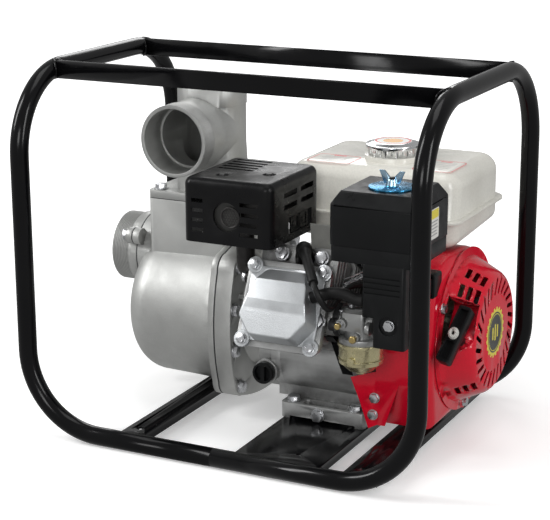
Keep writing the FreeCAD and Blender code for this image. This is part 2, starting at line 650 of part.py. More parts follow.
# ------------------------------------------------------------------ turning parts
def gear(teeth, pitch_r, x, width, phase_deg):
    """Spur gear about the X axis, with straight-flanked teeth and working backlash."""
    addendum = 1.6
    dedendum = 2.2
    half_root = 0.27 * 2 * math.pi / teeth
    half_tip = 0.11 * 2 * math.pi / teeth
    points = []
    for tooth in range(teeth):
        centre = math.radians(phase_deg) + 2 * math.pi * tooth / teeth
        for angle, radius in ((-half_root, pitch_r - dedendum), (-half_tip, pitch_r + addendum),
                              (half_tip, pitch_r + addendum), (half_root, pitch_r - dedendum)):
            points.append(V(x, radius * math.cos(centre + angle), radius * math.sin(centre + angle)))
    return polygon_prism(points, V(width, 0, 0))


def crankshaft():
    """Built-up crank at top dead centre, with its gear, pump nose and starter end."""
    journal_left = (-17.0, 40.0)
    journal_right = (97.0, 205.0)
    pin = lean(rod(X_AXIS, (55.0, 0, THROW), 27.0, PIN_R))
    webs = []
    for x in ((40.0, 56.0), (81.0, 97.0)):
        width = (-20.0, 20.0)
        web = join([box(x, width, (-20.0, THROW + 6)),
                    rod(X_AXIS, (x[0], 0, 0), x[1] - x[0], 44.0).common(box(x, (-44.0, 44.0), (-44.0, -4.0)))])
        webs.append(lean(web))
    crank_gear = gear(CRANK_TEETH, CAM_DISTANCE / 3, 27.0, 8.0, crank_gear_phase())
    crank_gear.translate(V(0, CRANK_Y, CRANK_Z))
    return join([crank_rod(*journal_left, SHAFT_R), crank_rod(*journal_right, SHAFT_R),
                 crank_rod(-105.0, journal_left[0], NOSE_R), crank_rod(journal_right[1], 214.0, 8.0),
                 pin, crank_gear] + webs)


def mesh_angle():
    """Direction from crank to camshaft, in degrees in the Y-Z plane."""
    return math.degrees(math.atan2(CAM_Z - CRANK_Z, CAM_Y - CRANK_Y))


def crank_gear_phase():
    return mesh_angle()


def cam_gear_phase():
    """Turned half a tooth so a gap faces the crank gear's tooth."""
    return mesh_angle() + 180 + 180 / CAM_TEETH


def camshaft():
    shaft = rod(X_AXIS, (-6.0, CAM_Y, CAM_Z), 140.0, 8.0)
    wheel = gear(CAM_TEETH, 2 * CAM_DISTANCE / 3, 27.0, 8.0, cam_gear_phase())
    wheel = join([wheel, rod(X_AXIS, (27.0, 0, 0), 14.0, 12.0)])
    wheel.translate(V(0, CAM_Y, CAM_Z))
    lobes = []
    for x, turn in ((58.0, 200.0), (72.0, 310.0)):
        lobe = join([rod(X_AXIS, (x, 0, 0), 8.0, 9.5), rod(X_AXIS, (x, 0, 4.0), 8.0, 6.5)])
        lobe.rotate(V(0, 0, 0), X_AXIS, turn)
        lobe.translate(V(0, CAM_Y, CAM_Z))
        lobes.append(lobe)
    return join([shaft, wheel] + lobes)


BEARINGS = ((ENGINE_FACE_X + 4, ENGINE_FACE_X + 16), (CASE_X[1] - 15, CASE_X[1] - 3))


def main_bearings():
    """Ball bearings as an outer ring that reaches the shaft's running clearance."""
    return Part.makeCompound([crank_ring(*x, 26.0, SHAFT_R + RUN_GAP) for x in BEARINGS])


PISTON_TOP_N = DECK_N - 1.0
PISTON_PIN_N = PISTON_TOP_N - 26


def piston():
    """Piston with ring grooves and its cross pin, at top dead centre."""
    body = rod(Z_AXIS, (CYL_X, 0, PISTON_TOP_N - 46), 46.0, BORE_R - 0.3)
    grooves = [ring(Z_AXIS, (CYL_X, 0, PISTON_TOP_N - d), 1.5, BORE_R + 1, BORE_R - 3) for d in (7.0, 12.0, 18.0)]
    hollow = rod(Z_AXIS, (CYL_X, 0, PISTON_TOP_N - 47), 39.0, BORE_R - 5)
    body = cut_all(body, grooves + [hollow])
    pin = rod(X_AXIS, (CYL_X - 31, 0, PISTON_PIN_N), 62.0, 9.0)
    return lean(join([body, pin]))


def connecting_rod():
    """Rod from the small end down to where the crankpin's path begins."""
    small_end = rod(X_AXIS, (CYL_X - 10, 0, PISTON_PIN_N), 20.0, 14.0)
    low = THROW + PIN_R + 4
    shank = box((CYL_X - 4, CYL_X + 4), (-9.0, 9.0), (low, PISTON_PIN_N - 10))
    hole = rod(X_AXIS, (CYL_X - 11, 0, PISTON_PIN_N), 22.0, 9.0 + RUN_GAP)
    return lean(join([small_end, shank]).cut(hole))


# ------------------------------------------------------------------ cylinder head and valve gear
VALVE_AT = ((CYL_X - 17, 2.0), (CYL_X + 17, 2.0))
EXHAUST_AT = (12.5, 12.0, 157.0)
PLUG_TIP = (75.0, 14.0, 139.0)
PLUG_TURN = 36.0
PLUG_SEAT = 17.0


def plug_rod(start, end, radius):
    """Cylinder along the spark plug axis, measured from the plug tip."""
    turn = math.radians(PLUG_TURN)
    axis = V(0, math.sin(turn), math.cos(turn))
    return Part.makeCylinder(radius, end - start, V(*PLUG_TIP) + axis * start, axis)


def exhaust_spots():
    """Exhaust port centre and its two studs, level with each other."""
    sine = math.sin(math.radians(LEAN_DEG))
    cosine = math.cos(math.radians(LEAN_DEG))
    u, n = EXHAUST_AT[1:]
    return [(u, n)] + [(u + side * 18 * sine, n - side * 18 * cosine) for side in (-1, 1)]


def cylinder_head():
    """Finned head with the rocker box rim, ports and the plug boss."""
    deck = cooling_fin(DECK_N, 9.0, 0.0)
    fins = [cooling_fin(n, 2.6, 4.0) for n in (145.0, 153.0, 161.0, 169.0)]
    core = rounded_box((CYL_X - 38, CYL_X + 38), (-56.0, 34.0), (DECK_N, 160.0), 8.0, Z_AXIS)
    chamber = rounded_box((CYL_X - 38, CYL_X + 38), (-56.0, 19.0), (158.0, COVER_N), 8.0, Z_AXIS)
    bosses = [rod(Z_AXIS, (x, u, DECK_N), HEAD_TOP_N - DECK_N, 8.5) for x, u in HEAD_BOLTS]
    rim = rounded_box((14.0, 117.0), (-75.0, 25.0), (COVER_N - 9, COVER_N), 12.0, Z_AXIS)
    intake = rod(X_AXIS, (CYL_X + 30, -27.7, 155.7), 24.0, 19.0)
    exhaust = [rod(X_AXIS, (EXHAUST_AT[0], *spot), 24.0, r) for spot, r in zip(exhaust_spots(), (17.0, 7.0, 7.0))]
    body = join([deck] + fins + [core, chamber] + bosses + [rim, intake] + exhaust)
    tools = [rounded_box((CYL_X - 32, CYL_X + 32), (-53.0, 14.0), (165.0, COVER_N + 1), 6.0, Z_AXIS),
             rod(Z_AXIS, (CYL_X, 0, DECK_N - 1), 8.0, 30.0),
             rod(X_AXIS, (CYL_X + 14, -27.7, 155.7), 41.0, 11.0),
             rod(X_AXIS, (EXHAUST_AT[0] - 1, *EXHAUST_AT[1:]), 30.0, 11.0),
             box((CYL_X - 15, CYL_X + 15), (-51.0, -41.0), (DECK_N - 1, 170.0)),
             plug_rod(-12.0, 60.0, 7.2), plug_rod(PLUG_SEAT, 60.0, 13.0)]
    tools += [rod(X_AXIS, (EXHAUST_AT[0] - 1, *spot), 18.0, 3.2) for spot in exhaust_spots()[1:]]
    tools += [rod(Z_AXIS, (x, u, DECK_N - 1), 60.0, 3.1) for x, u in VALVE_AT]
    tools += [rod(Z_AXIS, (x, u, DECK_N + 3), 10.0, 13.0) for x, u in VALVE_AT]
    tools += [bolt_hole(Z_AXIS, (x, u, HEAD_TOP_N), 8.0, 70.0) for x, u in HEAD_BOLTS]
    tools += [rod(Z_AXIS, (x, u, HEAD_TOP_N), 30.0, 9.5) for x, u in HEAD_BOLTS]
    tools += [rod(Z_AXIS, (x, u, COVER_N - 12), 13.0, 3.3) for x, u in COVER_BOLTS]
    return lean(max(cut_all(body, tools).Solids, key=lambda s: s.Volume))


def valves():
    """Two closed valves, each with its coil spring as a sleeve and its retainer."""
    solids = []
    for x, u in VALVE_AT:
        head = cone(Z_AXIS, (x, u, DECK_N + 4), 4.0, 12.0, 6.0)
        stem = rod(Z_AXIS, (x, u, DECK_N + 4), 56.0, 2.9)
        retainer = rod(Z_AXIS, (x, u, DECK_N + 52), 3.0, 9.0)
        solids.append(lean(join([head, stem, retainer])))
        spring = ring(Z_AXIS, (x, u, 165.0), DECK_N + 52 - 165, 8.5, 6.5)
        solids.append(lean(spring))
    return Part.makeCompound(solids)


def rocker_gear():
    """Rocker arms over the valve tips and the pushrods that reach down to the camshaft."""
    solids = []
    for x, u in VALVE_AT:
        arm = join([box((x - 4, x + 4), (-48.0, u + 4), (DECK_N + 60.2, DECK_N + 65)),
                    rod(Z_AXIS, (x, -22.0, DECK_N + 56), 12.0, 6.5)])
        solids.append(lean(arm))
        side = 1 if x > CYL_X else -1
        solids.append(lean(rod(Z_AXIS, (CYL_X + side * 11, -46.0, 62.0), DECK_N + 60 - 62, 2.8)))
    return Part.makeCompound(solids)


CREST = [(33.0, -4.0), (43.0, 11.0), (88.0, 11.0), (98.0, -4.0), (107.0, -43.0), (91.0, -64.0),
         (40.0, -64.0), (24.0, -43.0)]


def soft_polygon(points, n, grow, radius):
    """Closed outline in the plane n: a polygon pushed outwards, with rounded corners."""
    cx = sum(x for x, u in points) / len(points)
    cu = sum(u for x, u in points) / len(points)
    spots = []
    for x, u in points:
        length = math.hypot(x - cx, u - cu)
        spots.append(V(x + (x - cx) * grow / length, u + (u - cu) * grow / length, n))
    edges = []
    count = len(spots)
    joints = []
    for i, corner in enumerate(spots):
        back = (spots[i - 1] - corner).normalize()
        ahead = (spots[(i + 1) % count] - corner).normalize()
        half = back.getAngle(ahead) / 2
        first = corner + back * (radius / math.tan(half))
        last = corner + ahead * (radius / math.tan(half))
        middle = corner + (back + ahead).normalize() * (radius / math.sin(half) - radius)
        joints.append((first, middle, last))
    for i, (first, middle, last) in enumerate(joints):
        edges.append(Part.Arc(first, middle, last).toShape())
        edges.append(Part.LineSegment(last, joints[(i + 1) % count][0]).toShape())
    return Part.Wire(edges)


def cover_dome(inset):
    """Pressed dome: an eight-sided drum whose upper third slopes back."""
    low = COVER_N + 2 + (0 if inset == 0 else -4)
    crest_n = 211.5 - inset
    drum = Part.makeLoft([soft_polygon(CREST, low, 5 - inset, 9.0 - inset),
                          soft_polygon(CREST, crest_n, -inset, 8.0 - inset)], True, True)
    wedge = polygon_prism([V(0, -23.0, crest_n), V(0, 1.0, crest_n - 6), V(0, 30.0, crest_n - 34),
                           V(0, 30.0, crest_n + 10), V(0, -23.0, crest_n + 10)], V(140, 0, 0))
    return drum.cut(wedge)


def valve_cover():
    outline = [(22.5, 15.0), (108.5, 15.0), (108.5, -65.0), (22.5, -65.0)]
    plate = Part.Face(soft_polygon(outline, COVER_N, 4.0, 12.0)).extrude(V(0, 0, 3.0))
    ears = [rod(Z_AXIS, (x, u, COVER_N), 4.0, 9.5) for x, u in COVER_BOLTS]
    spigot = rod(X_AXIS, (96.0, -12.0, 197.5), 12.0, 5.0)
    dome = cover_dome(0)
    dome = dome.makeFillet(2.5, [e for e in dome.Edges if e.BoundBox.ZMin > COVER_N + 3.5
                                 and e.BoundBox.ZLength < 12 and e.Length > 6])
    body = join([plate, dome] + ears).fuse(spigot)
    tools = [cover_dome(1.5), rod(X_AXIS, (90.0, -12.0, 197.5), 20.0, 3.2)]
    tools += [bolt_hole(Z_AXIS, (x, u, COVER_N + 4), 6.0, 16.0) for x, u in COVER_BOLTS]
    return lean(max(cut_all(body, tools).Solids, key=lambda s: s.Volume))


def engine_bolts():
    """Foot, head, rocker cover and side cover bolts, with the oil drain plug."""
    out = lean_direction(0, 0, 1)
    bolts = [flange_bolt(Z_AXIS, seat, 8.0, 29.0) for seat in foot_bolt_seats()]
    bolts += [flange_bolt(out, lean_point(x, u, HEAD_TOP_N), 8.0, 69.0) for x, u in HEAD_BOLTS]
    bolts += [flange_bolt(out, lean_point(x, u, COVER_N + 4), 6.0, 15.0) for x, u in COVER_BOLTS]
    bolts += [flange_bolt(X_AXIS * -1, (ENGINE_FACE_X + 12, y, z), 6.0, 41.0) for y, z in SIDE_BOLTS]
    stud_x = EXHAUST_AT[0] - 5
    bolts += [flange_bolt(X_AXIS * -1, lean_point(stud_x, *spot), 6.0, 20.0) for spot in exhaust_spots()[1:]]
    bolts += [flange_bolt(Y_AXIS * -1, (x, FAN_FRONT_Y, z), 6.0, 9.0) for x, z in FAN_BOLTS]
    bolts.append(flange_bolt(Y_AXIS * -1, (73.5, FOOT_Y[0], 31.0), 8.0, 15.0))
    return Part.makeCompound(bolts)


# ------------------------------------------------------------------ exhaust
def muffler():
    """Pressed box with rounded sides, its outlet at the front and its pipe down to the head."""
    (x0, y0, z0), (x1, y1, z1) = GUARD
    body = rounded_box((x0 + 16, x1 - 10), (y0 + 22, y1 - 14), (z0 + 10, z1 - 12), 20.0, Y_AXIS)
    outlet = rod(Y_AXIS, (OUTLET_AT[0], y0 + 5, OUTLET_AT[1]), 24.0, 12.0)
    face_x = EXHAUST_AT[0]
    port = V(*lean_point(*EXHAUST_AT))
    route = [V(face_x - 15, port.y - 4, z0 + 14), V(face_x - 15, port.y, port.z), port]
    pipe = swept(bent_path(route, 13.0), 11.0)
    bore = swept(bent_path(route, 13.0), 9.0)
    spots = exhaust_spots()
    flange = [lean(rod(X_AXIS, (face_x - 5, *spot), 5.0, r)) for spot, r in zip(spots, (16.0, 7.0, 7.0))]
    tie = box((face_x - 5, face_x), (port.y - 18, port.y + 18), (port.z - 7, port.z + 7))
    tools = [bore, rod(X_AXIS, (face_x - 6, port.y, port.z), 8.0, 9.0),
             rod(Y_AXIS, (OUTLET_AT[0], y0 + 4, OUTLET_AT[1]), 14.0, 10.0)]
    tools += [lean(rod(X_AXIS, (face_x - 6, *spot), 8.0, 3.2)) for spot in spots[1:]]
    return cut_all(join([body, outlet, pipe, tie] + flange), tools)


def guard_slots():
    """Openings of the muffler guard, all cut through one wall."""
    (x0, y0, z0), (x1, y1, z1) = GUARD
    slots = [rod(Y_AXIS, (OUTLET_AT[0], y0 - 1, OUTLET_AT[1]), 6.0, 17.0)]
    for row in range(4):
        z = OUTLET_AT[1] + 16 - row * 11.5
        slots.append(box((x0 + 12, x0 + 27), (y0 - 1, y0 + 4), (z - 2.4, z + 2.4)))
        slots.append(box((x0 + 74, x0 + 97), (y0 - 1, y0 + 4), (z - 2.4, z + 2.4)))
    for row in range(5):
        y = y1 - 20 - row * 12.5
        slots.append(box((x0 + 14, x0 + 60), (y, y + 6), (z1 - 4, z1 + 1)))
    for y in (y0 + 34, y0 + 78):
        for z in (z1 - 22, z1 - 36):
            slots.append(box((x1 - 4, x1 + 1), (y, y + 34), (z, z + 6)))
    slots.append(box((x1 - 4, x1 + 1), (y0 + 46, y1 - 22), (z0 + 8, z0 + 28)))
    return slots


def muffler_guard():
    """Pressed cover, open underneath, with two dished screw seats on top."""
    (x0, y0, z0), (x1, y1, z1) = GUARD
    body = soft_box((x0, x1), (y0, y1), (z0, z1), 11.0, 9.0)
    inner = soft_box((x0 + 2, x1 - 2), (y0 + 2, y1 - 2), (z0 - 10, z1 - 2), 9.0, 7.0)
    shell = cut_all(body, [inner] + guard_slots())
    pads = [rod(Z_AXIS, (x, y, z1 - 9), 8.0, 9.5) for x, y in guard_screws()]
    dishes = [cone(Z_AXIS, (x, y, z1 - 2), 2.5, 6.0, 8.5) for x, y in guard_screws()]
    holes = [bolt_hole(Z_AXIS, (x, y, z1 - 2), 4.0, 5.0) for x, y in guard_screws()]
    return cut_all(join([shell] + pads), dishes + holes)


def guard_screws():
    (x0, y0, z0), (x1, y1, z1) = GUARD
    return [(x0 + 38, y0 + 28), (x1 - 28, y0 + 52)]


# ------------------------------------------------------------------ ignition
def spark_plug():
    """Plug screwed into the head, its insulator pointing up and forward."""
    thread = plug_rod(0.0, PLUG_SEAT, 7.0)
    collar = plug_rod(PLUG_SEAT, PLUG_SEAT + 3, 11.0)
    turn = math.radians(PLUG_TURN)
    axis = V(0, math.sin(turn), math.cos(turn))
    nut = hexagon(axis, tuple(V(*PLUG_TIP) + axis * (PLUG_SEAT + 3)), 7.0, 19.0)
    insulator = plug_rod(PLUG_SEAT + 10, PLUG_SEAT + 26, 5.0)
    return lean(join([thread, collar, nut, insulator]))


def boot_points():
    """Middle of the boot's elbow and the end of its lead sleeve, in world coordinates."""
    turn = math.radians(PLUG_TURN)
    axis = V(0, math.sin(turn), math.cos(turn))
    elbow = V(*PLUG_TIP) + axis * (PLUG_SEAT + 33)
    return V(*lean_point(*elbow)), V(111.0, -146.0, 224.0)


def spark_plug_cap():
    """Rubber boot over the insulator with a long sleeve round the lead."""
    elbow, end = boot_points()
    sleeve = lean(plug_rod(PLUG_SEAT + 10.5, PLUG_SEAT + 33, 9.5))
    knuckle = Part.makeSphere(9.5, elbow)
    along = end - elbow
    neck = Part.makeCone(8.5, 5.6, 18.0, elbow, along)
    tube = Part.makeCylinder(5.6, along.Length, elbow, along)
    tools = [lean(plug_rod(PLUG_SEAT + 9, PLUG_SEAT + 26, 5.0)),
             Part.makeCylinder(3.5, 30.0, end - along.normalize() * 14, along)]
    return cut_all(join([sleeve, knuckle, neck, tube]), tools)


def lead_route():
    """Ignition lead from the boot, in front of and under the breather hose, back to the coil."""
    elbow, end = boot_points()
    along = (end - elbow).normalize()
    return [end - along * 14, end + along * 7, V(123.0, -154.0, 207.0), V(128.0, -141.0, 192.0),
            V(127.0, -112.0, 200.0), V(128.0, -85.0, 207.0), V(136.0, -66.0, 206.0), V(145.0, -46.0, 199.0),
            V(151.0, -24.0, 195.5), V(158.0, -21.4, 194.8)]


def ignition_lead():
    return swept(route_path(lead_route()), 3.5)


def coil_angle():
    """Coil sits beside the flywheel, towards the front and top."""
    return math.radians(138.0)


def ignition_coil():
    """Laminated leg with its moulded winding, a hair off the flywheel rim."""
    legs = [box((164.0, 176.0), (d - 5, d + 5), (FLYWHEEL_R + 2.2, FLYWHEEL_R + 9)) for d in (-18.0, 18.0)]
    yoke = box((164.0, 176.0), (-23.0, 23.0), (FLYWHEEL_R + 8, FLYWHEEL_R + 12))
    moulding = rounded_box((160.0, 180.0), (-12.0, 12.0), (FLYWHEEL_R + 1.0, FLYWHEEL_R + 11), 3.0, X_AXIS)
    coil = join(legs + [yoke, moulding])
    coil.rotate(V(0, 0, 0), X_AXIS, math.degrees(coil_angle()) - 90)
    coil.translate(V(0, CRANK_Y, CRANK_Z))
    return coil


SWITCH_AT = (215.0, -52.0, 213.0)


def switch_housing():
    x, y, z = SWITCH_AT
    body = rounded_box((x - 9, x + 9), (y - 16, y + 6), (z - 14, z + 14), 3.0, Y_AXIS)
    body = body.cut(fan_outline(FAN_X[0], FAN_X[1] + 20, 0.0))
    return body.cut(box((x - 6, x + 6), (y - 17, y - 5), (z - 11.6, z + 11.6)))


def switch_rocker():
    """Rocker that tips about a pin across its housing."""
    x, y, z = SWITCH_AT
    spots = [(-14.5, -9.0), (-19.0, 9.0), (-12.5, 8.6), (-8.0, 0.0), (-10.5, -8.6)]
    pin = rod(X_AXIS, (x - 5.9, y - 11.5, z), 11.8, 2.5)
    return join([polygon_prism([V(x - 5.7, y + dy, z + dz) for dy, dz in spots], V(11.4, 0, 0)), pin])


# ------------------------------------------------------------------ intake
def intake_x():
    return CYL_X + 54.0


def carburettor():
    """Cast body with its throat along X, insulator, flange and bowl seat."""
    x0 = intake_x()
    body = join([hull_flange(x0, 7.0, 19.0, 22.0),
                 rod(X_AXIS, (x0 + 7, CARB_Y, CARB_Z), 36.0, 16.0),
                 hull_flange(x0 + 43, 5.0, 18.0, 20.0),
                 rod(Z_AXIS, (x0 + 28, CARB_Y, CARB_Z - 22), 7.0, 25.5),
                 rod(Z_AXIS, (x0 + 28, CARB_Y, CARB_Z - 18), 14.0, 19.0),
                 rounded_box((x0 + 10, x0 + 40), (CARB_Y - 20, CARB_Y + 12), (CARB_Z - 6, CARB_Z + 15), 5.0, Z_AXIS),
                 rod(Y_AXIS, (x0 + 14, CARB_Y - 26, CARB_Z + 3), 12.0, 6.0),
                 rod(Y_AXIS, (x0 + 30, CARB_Y - 24, CARB_Z - 12), 12.0, 5.0)])
    tools = [rod(X_AXIS, (x0 - 1, CARB_Y, CARB_Z), 60.0, 11.0),
             rod(Z_AXIS, (x0 + 16, CARB_Y, CARB_Z - 12), 40.0, 2.5 + RUN_GAP),
             rod(Z_AXIS, (x0 + 38, CARB_Y, CARB_Z - 12), 40.0, 2.5 + RUN_GAP),
             rod(Z_AXIS, (x0 + 28, CARB_Y, CARB_Z - 23), 8.0, 3.0)]
    return cut_all(body, tools)


def hull_flange(x, thickness, radius, reach):
    """Two-eared oval flange square to the throat."""
    parts = [rod(X_AXIS, (x, CARB_Y, CARB_Z), thickness, radius)]
    for side in (-1, 1):
        parts.append(rod(X_AXIS, (x, CARB_Y + side * reach, CARB_Z), thickness, 7.0))
    parts.append(box((x, x + thickness), (CARB_Y - reach, CARB_Y + reach), (CARB_Z - 7, CARB_Z + 7)))
    return join(parts)


BOWL_TOP = CARB_Z - 22.0


def float_bowl():
    """Fuel bowl with its drain screw."""
    x = intake_x() + 28
    body = join([rod(Z_AXIS, (x, CARB_Y, BOWL_TOP - 4), 4.0, 26.5),
                 rod(Z_AXIS, (x, CARB_Y, BOWL_TOP - 24), 20.0, 25.0),
                 cone(Z_AXIS, (x, CARB_Y, BOWL_TOP - 33), 9.0, 15.0, 24.0)])
    body = body.cut(rod(Z_AXIS, (x, CARB_Y, BOWL_TOP - 22), 23.0, 23.5))
    nut = hexagon(Z_AXIS, (x, CARB_Y, BOWL_TOP - 38), 5.5, 10.0)
    screw = rod(Y_AXIS, (x, CARB_Y - 31, BOWL_TOP - 16), 7.0, 4.0)
    return join([body, nut, screw])


def lever(x, base_z, length, width, shaft_low, swing_deg):
    """Flat lever on an upright spindle, turned about the spindle."""
    spindle = rod(Z_AXIS, (0, 0, shaft_low), base_z - shaft_low + 3, 2.5)
    blade = join([box((0, length), (-width / 2, width / 2), (base_z, base_z + 3)),
                  rod(Z_AXIS, (0, 0, base_z), 3.0, width / 2 + 1),
                  rod(Z_AXIS, (length, 0, base_z), 3.0, width / 2)])
    shape = join([spindle, blade])
    shape.rotate(V(0, 0, 0), Z_AXIS, swing_deg)
    shape.translate(V(x, CARB_Y, 0))
    return shape


def throttle_lever():
    base = CARB_Z + 17.0
    plate = box((-0.8, 0.8), (-7.5, 7.5), (CARB_Z - 7.5, CARB_Z + 7.5))
    plate.translate(V(intake_x() + 16, CARB_Y, 0))
    return join([lever(intake_x() + 16, base, 20.0, 7.0, CARB_Z - 11, 30.0), plate])


def choke_lever():
    base = CARB_Z + 21.0
    plate = box((-7.5, 7.5), (-0.8, 0.8), (CARB_Z - 7.5, CARB_Z + 7.5))
    plate.translate(V(intake_x() + 38, CARB_Y, 0))
    return join([lever(intake_x() + 38, base, 26.0, 7.0, CARB_Z - 11, 95.0), plate])


TAP_AT = (intake_x() + 28, CARB_Y + 31.0, CARB_Z - 30.0)


def fuel_tap_lever():
    """Small lever on a spindle behind the bowl."""
    x, y, z = TAP_AT
    hub = rod(Y_AXIS, (x, y, z), 8.0, 6.0)
    blade = box((x, x + 24), (y + 3, y + 7), (z - 3, z + 3))
    return join([hub, blade])


def cleaner_outline(z0, z1, inset):
    (x0, y0, _), (x1, y1, _) = CLEANER
    return rounded_box((x0 + inset, x1 - inset), (y0 + inset, y1 - inset), (z0, z1), 6.0, Z_AXIS)


STUD_AT = (183.0, -97.0)


def air_cleaner_base():
    """Tray of the air cleaner with the ribbed duct down to the carburettor."""
    (x0, y0, z0), (x1, y1, z1) = CLEANER
    tray = cleaner_outline(z0, CLEANER_SPLIT_Z - 0.3, 0.8)
    tray = tray.cut(cleaner_outline(z0 + 3, CLEANER_SPLIT_Z, 4.0))
    duct = rounded_box(DUCT_X, DUCT_Y, (DUCT_STEP_Z, z0 + 1), 4.0, Z_AXIS)
    lower = rounded_box((DUCT_X[0] + 13, DUCT_X[1]), DUCT_Y, (DUCT_BOTTOM, DUCT_STEP_Z + 5), 4.0, Z_AXIS)
    throat = rod(X_AXIS, (intake_x() + 48.2, CARB_Y, CARB_Z), 14.0, 14.5)
    stud = rod(Z_AXIS, (*STUD_AT, z0), CLEANER[1][2] + 12 - z0, 3.0)
    body = join([tray, duct, lower, throat, stud])
    ribs = [box((DUCT_X[0] + 3, DUCT_X[1] - 6), (DUCT_Y[0] - 1, DUCT_Y[0] + 1.5), (z, z + 1.6))
            for z in (219.0, 225.0, 231.0, 237.0)]
    passage = join([box((DUCT_X[0] + 17, DUCT_X[1] - 4), (DUCT_Y[0] + 20, DUCT_Y[1] - 4), (CARB_Z - 10, z0 - 3)),
                    box((DUCT_X[0] + 28, DUCT_X[1] - 4), (DUCT_Y[0] + 20, DUCT_Y[1] - 4), (z0 - 4, z0 + 4)),
                    rod(X_AXIS, (intake_x() + 47, CARB_Y, CARB_Z), 24.0, 11.0)])
    pocket = rod(Y_AXIS, (DUCT_X[1] - 19, DUCT_Y[0] - 1, 184.5), 4.0, 11.0)
    bolt = bolt_hole(Y_AXIS * -1, (DUCT_X[1] - 19, DUCT_Y[0] + 3, 184.5), 6.0, 14.0)
    hose = rod(X_AXIS, (DUCT_X[0] - 1, -133.0, 207.0), 12.0, 4.0)
    return cut_all(body, ribs + [passage, pocket, bolt, hose])


def air_cleaner_cover():
    """Moulded cover with sloped shoulders."""
    (x0, y0, _), (x1, y1, z1) = CLEANER
    z0 = CLEANER_SPLIT_Z
    shoulder = 16.0
    slope = 10.0

    def skin(inset, drop):
        block = cleaner_outline(z0 - drop, z1 - inset, inset)
        rim = [V(x0, y0, 0), V(x1, y0, 0), V(x1, y1, 0), V(x0, y1, 0)]
        low = Part.makePolygon([V(p.x, p.y, z1 - shoulder - inset) for p in rim + rim[:1]])
        step = [(slope, slope), (-slope, slope), (-slope, -slope), (slope, -slope)]
        high = [V(p.x + dx, p.y + dy, z1 - inset) for p, (dx, dy) in zip(rim, step)]
        top = Part.makeLoft([low, Part.makePolygon(high + high[:1])], True, True)
        under = box((x0 - 5, x1 + 5), (y0 - 5, y1 + 5), (z0 - drop - 1, z1 - shoulder - inset))
        return block.common(join([top, under]))

    shell = skin(0.0, 0.0).cut(skin(2.5, 1.0))
    return shell.cut(rod(Z_AXIS, (*STUD_AT, z1 - 5), 10.0, 3.3))


def air_filter():
    """Ring of filter foam standing on the tray."""
    z0 = CLEANER[0][2] + 3
    x, y = STUD_AT
    ring_shape = ring(Z_AXIS, (x - 5, y + 6, z0), 62.0, 38.0, 26.0)
    return ring_shape


def wing_nut():
    """Wing nut with its dished washer, turning on the cleaner stud."""
    x, y = STUD_AT
    z = CLEANER[1][2] + 0.2
    washer = rod(Z_AXIS, (x, y, z), 2.0, 26.0)
    hub = cone(Z_AXIS, (x, y, z + 2), 8.0, 7.5, 5.5)
    wings = []
    for side in (-1, 1):
        wing = polygon_prism([V(0, -1.3, 3), V(side * 9, -1.3, 5), V(side * 15, -1.3, 19), V(side * 9, -1.3, 19),
                              V(0, -1.3, 9)], V(0, 2.6, 0))
        wing.translate(V(x, y, z))
        wings.append(wing)
    body = join([washer, hub] + wings)
    return body.cut(rod(Z_AXIS, (x, y, z - 1), 22.0, 3.0 + RUN_GAP))


def breather_hose():
    """Short hose from the rocker cover to the air cleaner duct, pushed over the cover's spigot."""
    start = V(*lean_point(104.0, -12.0, 197.5))
    end = V(DUCT_X[0], -133.0, 207.0)
    path = bent_path([start, start + V(20, 0, 7), end + V(-26, 0, 6), end + V(-9, 0, 0), end], 38.0)
    return swept(path, 7.0).cut(lean(rod(X_AXIS, (90.0, -12.0, 197.5), 18.2, 5.1)))


# ------------------------------------------------------------------ fuel tank
def tank_half(side, radius, edge_radius, inset):
    """Half of the tank from its side outline: upright edges and crown or floor edges rounded."""
    x0 = TANK_X[0] + inset
    x1 = TANK_X[1] - inset
    shape = polygon_prism([V(x0, y, z) for y, z in side], V(x1 - x0, 0, 0))
    corners = [e for e in shape.Edges if e.BoundBox.XLength < 1e-3 and e.BoundBox.ZLength > 15]
    shape = shape.makeFillet(radius, corners)
    far_z = side[1][1] if side[1][1] > TANK_SEAM_Z else 0
    if far_z:
        edges = [e for e in shape.Edges if e.BoundBox.ZMin > far_z - 1e-3]
    else:
        edges = [e for e in shape.Edges if e.BoundBox.ZMax < TANK_SEAM_Z - 20]
    return shape.makeFillet(edge_radius, edges)


